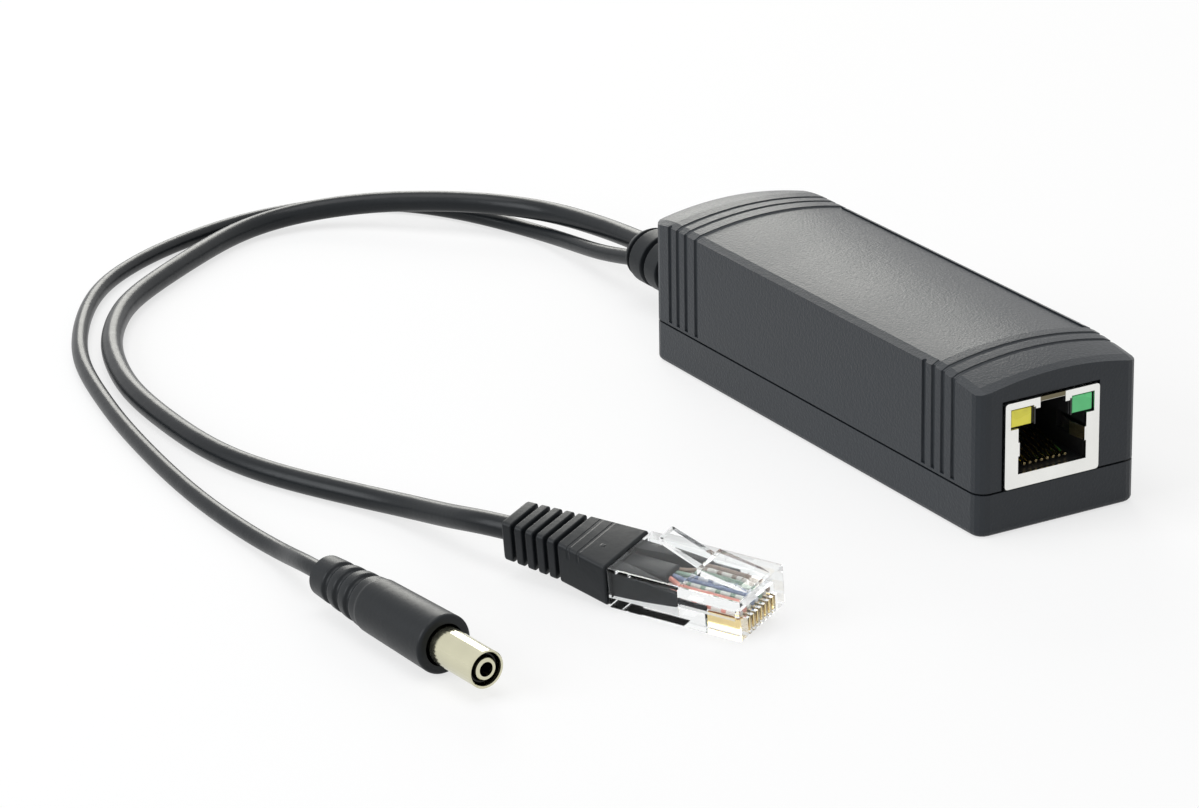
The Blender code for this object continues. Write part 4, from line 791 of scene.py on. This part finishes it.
class ADAPTER_OT_boot(Operator):
    """Shape the network plug's boot, with its ribs and the two prongs inside the clear body"""
    bl_idname = "adapter.boot"
    bl_label = "Boot"

    def shell(self):
        """The block and the ribs: each side runs straight from mark to mark.

        It is full at the plug, finer and higher to the lead; slots are smooth narrowings."""
        x = np.linspace(BOOT_MARKS[0], BOOT_MARKS[-1], 340)
        half, foot, top = (np.interp(x, BOOT_MARKS, sizes)
                           for sizes in (BOOT_HALF_WIDTHS, BOOT_FEET, BOOT_TOPS))
        depth = (BOOT_SLOT_DEPTH * slot_depth(x, BOOT_SLOTS, BOOT_SLOT_WIDTH, BOOT_SLOT_EDGE)
                 + eased(x, x[0], x[-1], BOOT_ROUND))[:, None]
        return boxed_rings(x, np.column_stack((-half, foot)) + depth,
                           np.column_stack((half, top)) - depth, BOOT_CORNER)

    def prong(self, side):
        """One prong: its outer side is straight, its inner side curves out, and a slim tip follows.

        The inner side moves out by a power of the sine, and the height falls by a power of the
        share of the prong's length; all sides then step smoothly to the tip's."""
        x = np.linspace(INNER_REAR, PRONG_TIP, 160)
        share_on = np.clip((x - x[0]) / PRONG_LENGTH, 0.0, 1.0)
        slim = smooth_step((x - SLIM_START) / SLIM_LENGTH)
        outer = PRONG_OUTER[0] + PRONG_OUTER[1] * slim
        rear, curve, tip = PRONG_INNER
        inner = rear + curve * np.sin(share_on * math.pi / 2) ** PRONG_POWER + tip * slim
        rear, curve, tip = PRONG_HALF_HEIGHT
        height = rear + curve * share_on ** PRONG_POWER + tip * slim
        edges = np.column_stack((side * inner, side * outer))
        low = np.column_stack((edges.min(axis=1), -height))
        high = np.column_stack((edges.max(axis=1), height))
        return boxed_rings(x, low, high, PRONG_CORNER)

    def sleeve(self):
        """The sleeve between the prongs, out of which the cores come: even, and round in front."""
        x = np.linspace(INNER_REAR, SLEEVE_FRONT, 60)
        half = np.array(SLEEVE_HALF) - eased(x, -math.inf, x[-1], BOOT_ROUND)[:, None]
        return boxed_rings(x, -half, half, SLEEVE_CORNER)

    def execute(self, context):
        sizes = settings("mouldings")
        matrix = plug_matrix(NETWORK_PLUG)
        shells = [self.shell(), self.prong(-1), self.prong(1), self.sleeve()]
        boot = ring_surface("plug_boot", *(moved(rings, matrix) for rings in shells))
        look = soft_moulding("boot_rubber", sizes.rubber, roughness=0.44, mottle=0.15)
        along, across, height = (look.local(matrix, i) for i in range(3))
        first, second = (look.window(along, *line) for line in BOOT_LINES)
        lines = (first + second) * height.step(*BOOT_LINES_FADE)
        dot = look.window(along, *BOOT_DOT[0]) * look.window(across, *BOOT_DOT[1])
        look.set(Normal=look.bump(look.skin - 0.8 * lines + 1.2 * dot, 0.00020, 0.6))
        dressed(boot, look, ("rj45_plug_boot",))
        return {"FINISHED"}


class ADAPTER_OT_cores(Operator):
    """Fan the eight cores out of the boot, between its prongs, to the nose of the clear body"""
    bl_idname = "adapter.cores"
    bl_label = "Cores"

    def execute(self, context):
        # A core's offset grows by a smooth step of x, and its rise or fall fades by the same one
        matrix = plug_matrix(NETWORK_PLUG)
        x = np.linspace(*CORE_ENDS, 120)
        fanned = smooth_step((x - FAN_START) / FAN_LENGTH)
        for i, (slot, *colours) in enumerate(CORE_COLOURS):
            offset = (i - 3.5) * CORE_PITCH
            y = offset * (CORE_GATHERED + (1.0 - CORE_GATHERED) * fanned)
            z = (CORE_STAGGER if i % 2 else -CORE_STAGGER) * (1.0 - fanned)
            path = moved(np.column_stack((x, y, z)), matrix)
            core = ring_surface(f"plug_core_{i + 1}", tube_rings(path, CORE_RADIUS, 16))
            look = core_insulation(f"core_{i + 1}", colours)
            dressed(core, look, (f"rj45_wire_{i + 1}",))
        return {"FINISHED"}


class ADAPTER_OT_clear_body(Operator):
    """Finish the network plug's clear body"""
    bl_idname = "adapter.clear_body"
    bl_label = "Clear body"

    def execute(self, context):
        finished(("rj45_plug_body",), clear_plastic("clear_body"))
        return {"FINISHED"}


class ADAPTER_OT_housing(Operator):
    """Finish the two moulded housing shells"""
    bl_idname = "adapter.housing"
    bl_label = "Housing"

    def execute(self, context):
        sizes = settings("housing")
        finished(("top_cover", "bottom_base"),
                 moulded_plastic("shell_plastic", sizes.shell, sizes.roughness, sizes.grain))
        return {"FINISHED"}


class ADAPTER_OT_jack(Operator):
    """Finish the network jack: shield, insert, contacts and both indicators"""
    bl_idname = "adapter.jack"
    bl_label = "Jack"

    def shield_look(self, nickel):
        """Nickel plate, painted shade on the lip over the latch's notch, dark between mouth and
        indicators.
        """
        look = plated_metal("shield_nickel", nickel, roughness=0.24, stretch=(1.0, 0.06, 1.0))
        across = (look.axis(1) - JACK_MIDDLE).absolute()
        height = look.axis(2)
        front = look.axis(0).step(JACK_FRONT - FRONT_EDGE, JACK_FRONT)
        beside = across.step(NOTCH_SHADE_HALF_WIDTH, NOTCH_SHADE_HALF_WIDTH + NOTCH_SHADE_EDGES[0])
        notch_shade = (1.0 - beside) * height.step(NOTCH_SHADE_FOOT, NOTCH_SHADE_FOOT + NOTCH_SHADE_EDGES[1]) * front
        dark = (look.window(across, DIVIDER_OFFSET, DIVIDER_SIZE[0], DIVIDER_EDGES[0])
                * look.window(height, DIVIDER_HEIGHT, DIVIDER_SIZE[1], DIVIDER_EDGES[1]) * front)
        # Painted shade: the lip over the latch's notch takes a dull bronze tone in place of the
        # nickel
        tint = look.mixed(notch_shade, look.tint, NOTCH_LIP_SHADE)
        return look.set(Base_Color=look.mixed(dark, tint, DIVIDER_BLACK), Metallic=1.0 - dark)

    def execute(self, context):
        metals = settings("metals")
        finished(("jack_shield",), self.shield_look(metals.nickel))
        finished(("jack_insert",), moulded_plastic("insert_black", INNER_BLACK, roughness=0.45))
        finished(CONTACTS, plated_metal("contact_gold", metals.gold, roughness=0.2,
                                        stretch=(0.1, 1.0, 1.0)))
        finished(("jack_led_yellow",), lamp_plastic("lamp_yellow", (0.72, 0.66, 0.06)))
        finished(("jack_led_green",), lamp_plastic("lamp_green", (0.10, 0.55, 0.20)))
        return {"FINISHED"}


class ADAPTER_OT_board(Operator):
    """Finish the circuit board and the parts on it"""
    bl_idname = "adapter.board"
    bl_label = "Board"

    def execute(self, context):
        finished(("circuit_board",), board_laminate("solder_resist", (0.012, 0.085, 0.035)))
        finished(CHIPS, moulded_plastic("chip_epoxy", (0.020, 0.020, 0.021), 0.55))
        finished(CANS, moulded_plastic("can_sleeve_blue", (0.03, 0.04, 0.12), 0.3))
        finished(("optocoupler",), moulded_plastic("optocoupler_white", (0.62, 0.60, 0.54), 0.5))
        finished(("flyback_core",), moulded_plastic("ferrite_grey", (0.055, 0.056, 0.060), 0.6))
        finished(("flyback_bobbin",), soft_moulding("winding_tape", (0.62, 0.50, 0.08), 0.35, 0.1))
        return {"FINISHED"}


class ADAPTER_OT_stage(Operator):
    """Set the pale floor, the white surroundings and the soft lamps"""
    bl_idname = "adapter.stage"
    bl_label = "Stage"

    def lamp(self, name, place, target, size, tint, energy):
        """A square lamp that looks at a target."""
        data = bpy.data.lights.new(name, "AREA")
        data.color = tint
        data.shape = "SQUARE"
        data.size = size
        data.energy = energy
        lamp = bpy.data.objects.new(name, data)
        lamp.location = place
        aim = Vector(target) - lamp.location
        lamp.rotation_euler = aim.to_track_quat("-Z", "Y").to_euler()
        bpy.context.scene.collection.objects.link(lamp)

    def floor(self, tint):
        """A wide floor that the camera sees nearly white, and that keeps the object's shadow."""
        sides = ((-1, -1), (1, -1), (1, 1), (-1, 1))
        corners = [(x * FLOOR_REACH, y * FLOOR_REACH, FLOOR_LEVEL) for x, y in sides]
        paper = mesh_object("floor", corners, [(0, 1, 2, 3)])
        look = Look("floor_paper")
        tone = look.toned(tint, 0.99, 1.01, look.noise(look.place(), 8.0))
        look.set(Base_Color=tone, Roughness=0.9, Specular_IOR_Level=0.2)
        glow = look.node("ShaderNodeEmission", None, {"Color": WHITE, "Strength": 1.0})
        mix = look.node("ShaderNodeMixShader", None, {0: FLOOR_WHITE * look.seen(),
                                                      1: Value(look, look.shader.outputs[0]),
                                                      2: glow})
        look.feed(look.tree.nodes["Material Output"].inputs["Surface"], mix)
        paper.data.materials.append(look.material)

    def surroundings(self, strength):
        """White all round: full white to the camera and in reflections, softer as a light."""
        world = bpy.data.worlds.new("studio")
        nodes = Nodes(world)
        back = nodes.tree.nodes["Background"]
        nodes.feed(back.inputs["Color"], WHITE)
        nodes.feed(back.inputs["Strength"], strength + (1.0 - strength) * nodes.seen())
        bpy.context.scene.world = world

    def execute(self, context):
        sizes = settings("stage")
        self.floor(sizes.floor)
        self.surroundings(sizes.ambient)
        for name, *rest in LAMPS:
            self.lamp(name, *rest, getattr(sizes, name))
        context.scene.view_settings.view_transform = "Standard"
        return {"FINISHED"}


class ADAPTER_PT_panel(Panel):
    """The steps and settings in the 3D view's sidebar"""
    bl_idname = "ADAPTER_PT_panel"
    bl_label = "Active PoE adapter"
    bl_space_type = "VIEW_3D"
    bl_region_type = "UI"
    bl_category = "Adapter"

    def draw(self, context):
        for group, kind in GROUPS.items():
            box = self.layout.box()
            box.label(text=group.capitalize())
            for key in kind.__annotations__:
                box.prop(settings(group), key)
        for step in STEPS:
            self.layout.operator(step.bl_idname)


STEPS = (ADAPTER_OT_camera, ADAPTER_OT_power_plug, ADAPTER_OT_boot, ADAPTER_OT_cores,
         ADAPTER_OT_leads, ADAPTER_OT_strain_relief, ADAPTER_OT_clear_body, ADAPTER_OT_housing,
         ADAPTER_OT_jack, ADAPTER_OT_board, ADAPTER_OT_stage)
CLASSES = (*GROUPS.values(), *STEPS, ADAPTER_PT_panel)


def register():
    """Register the classes and hang each group of settings on the scene."""
    for kind in CLASSES:
        bpy.utils.register_class(kind)
    for group, kind in GROUPS.items():
        setattr(bpy.types.Scene, f"adapter_{group}", PointerProperty(type=kind))


def unregister():
    """Take the settings and the classes away again."""
    for group in GROUPS:
        delattr(bpy.types.Scene, f"adapter_{group}")
    for kind in reversed(CLASSES):
        bpy.utils.unregister_class(kind)


def main():
    """Run every step in order."""
    register()
    for step in STEPS:
        family, name = step.bl_idname.split(".")
        getattr(getattr(bpy.ops, family), name)()


if __name__ == "__main__":
    main()
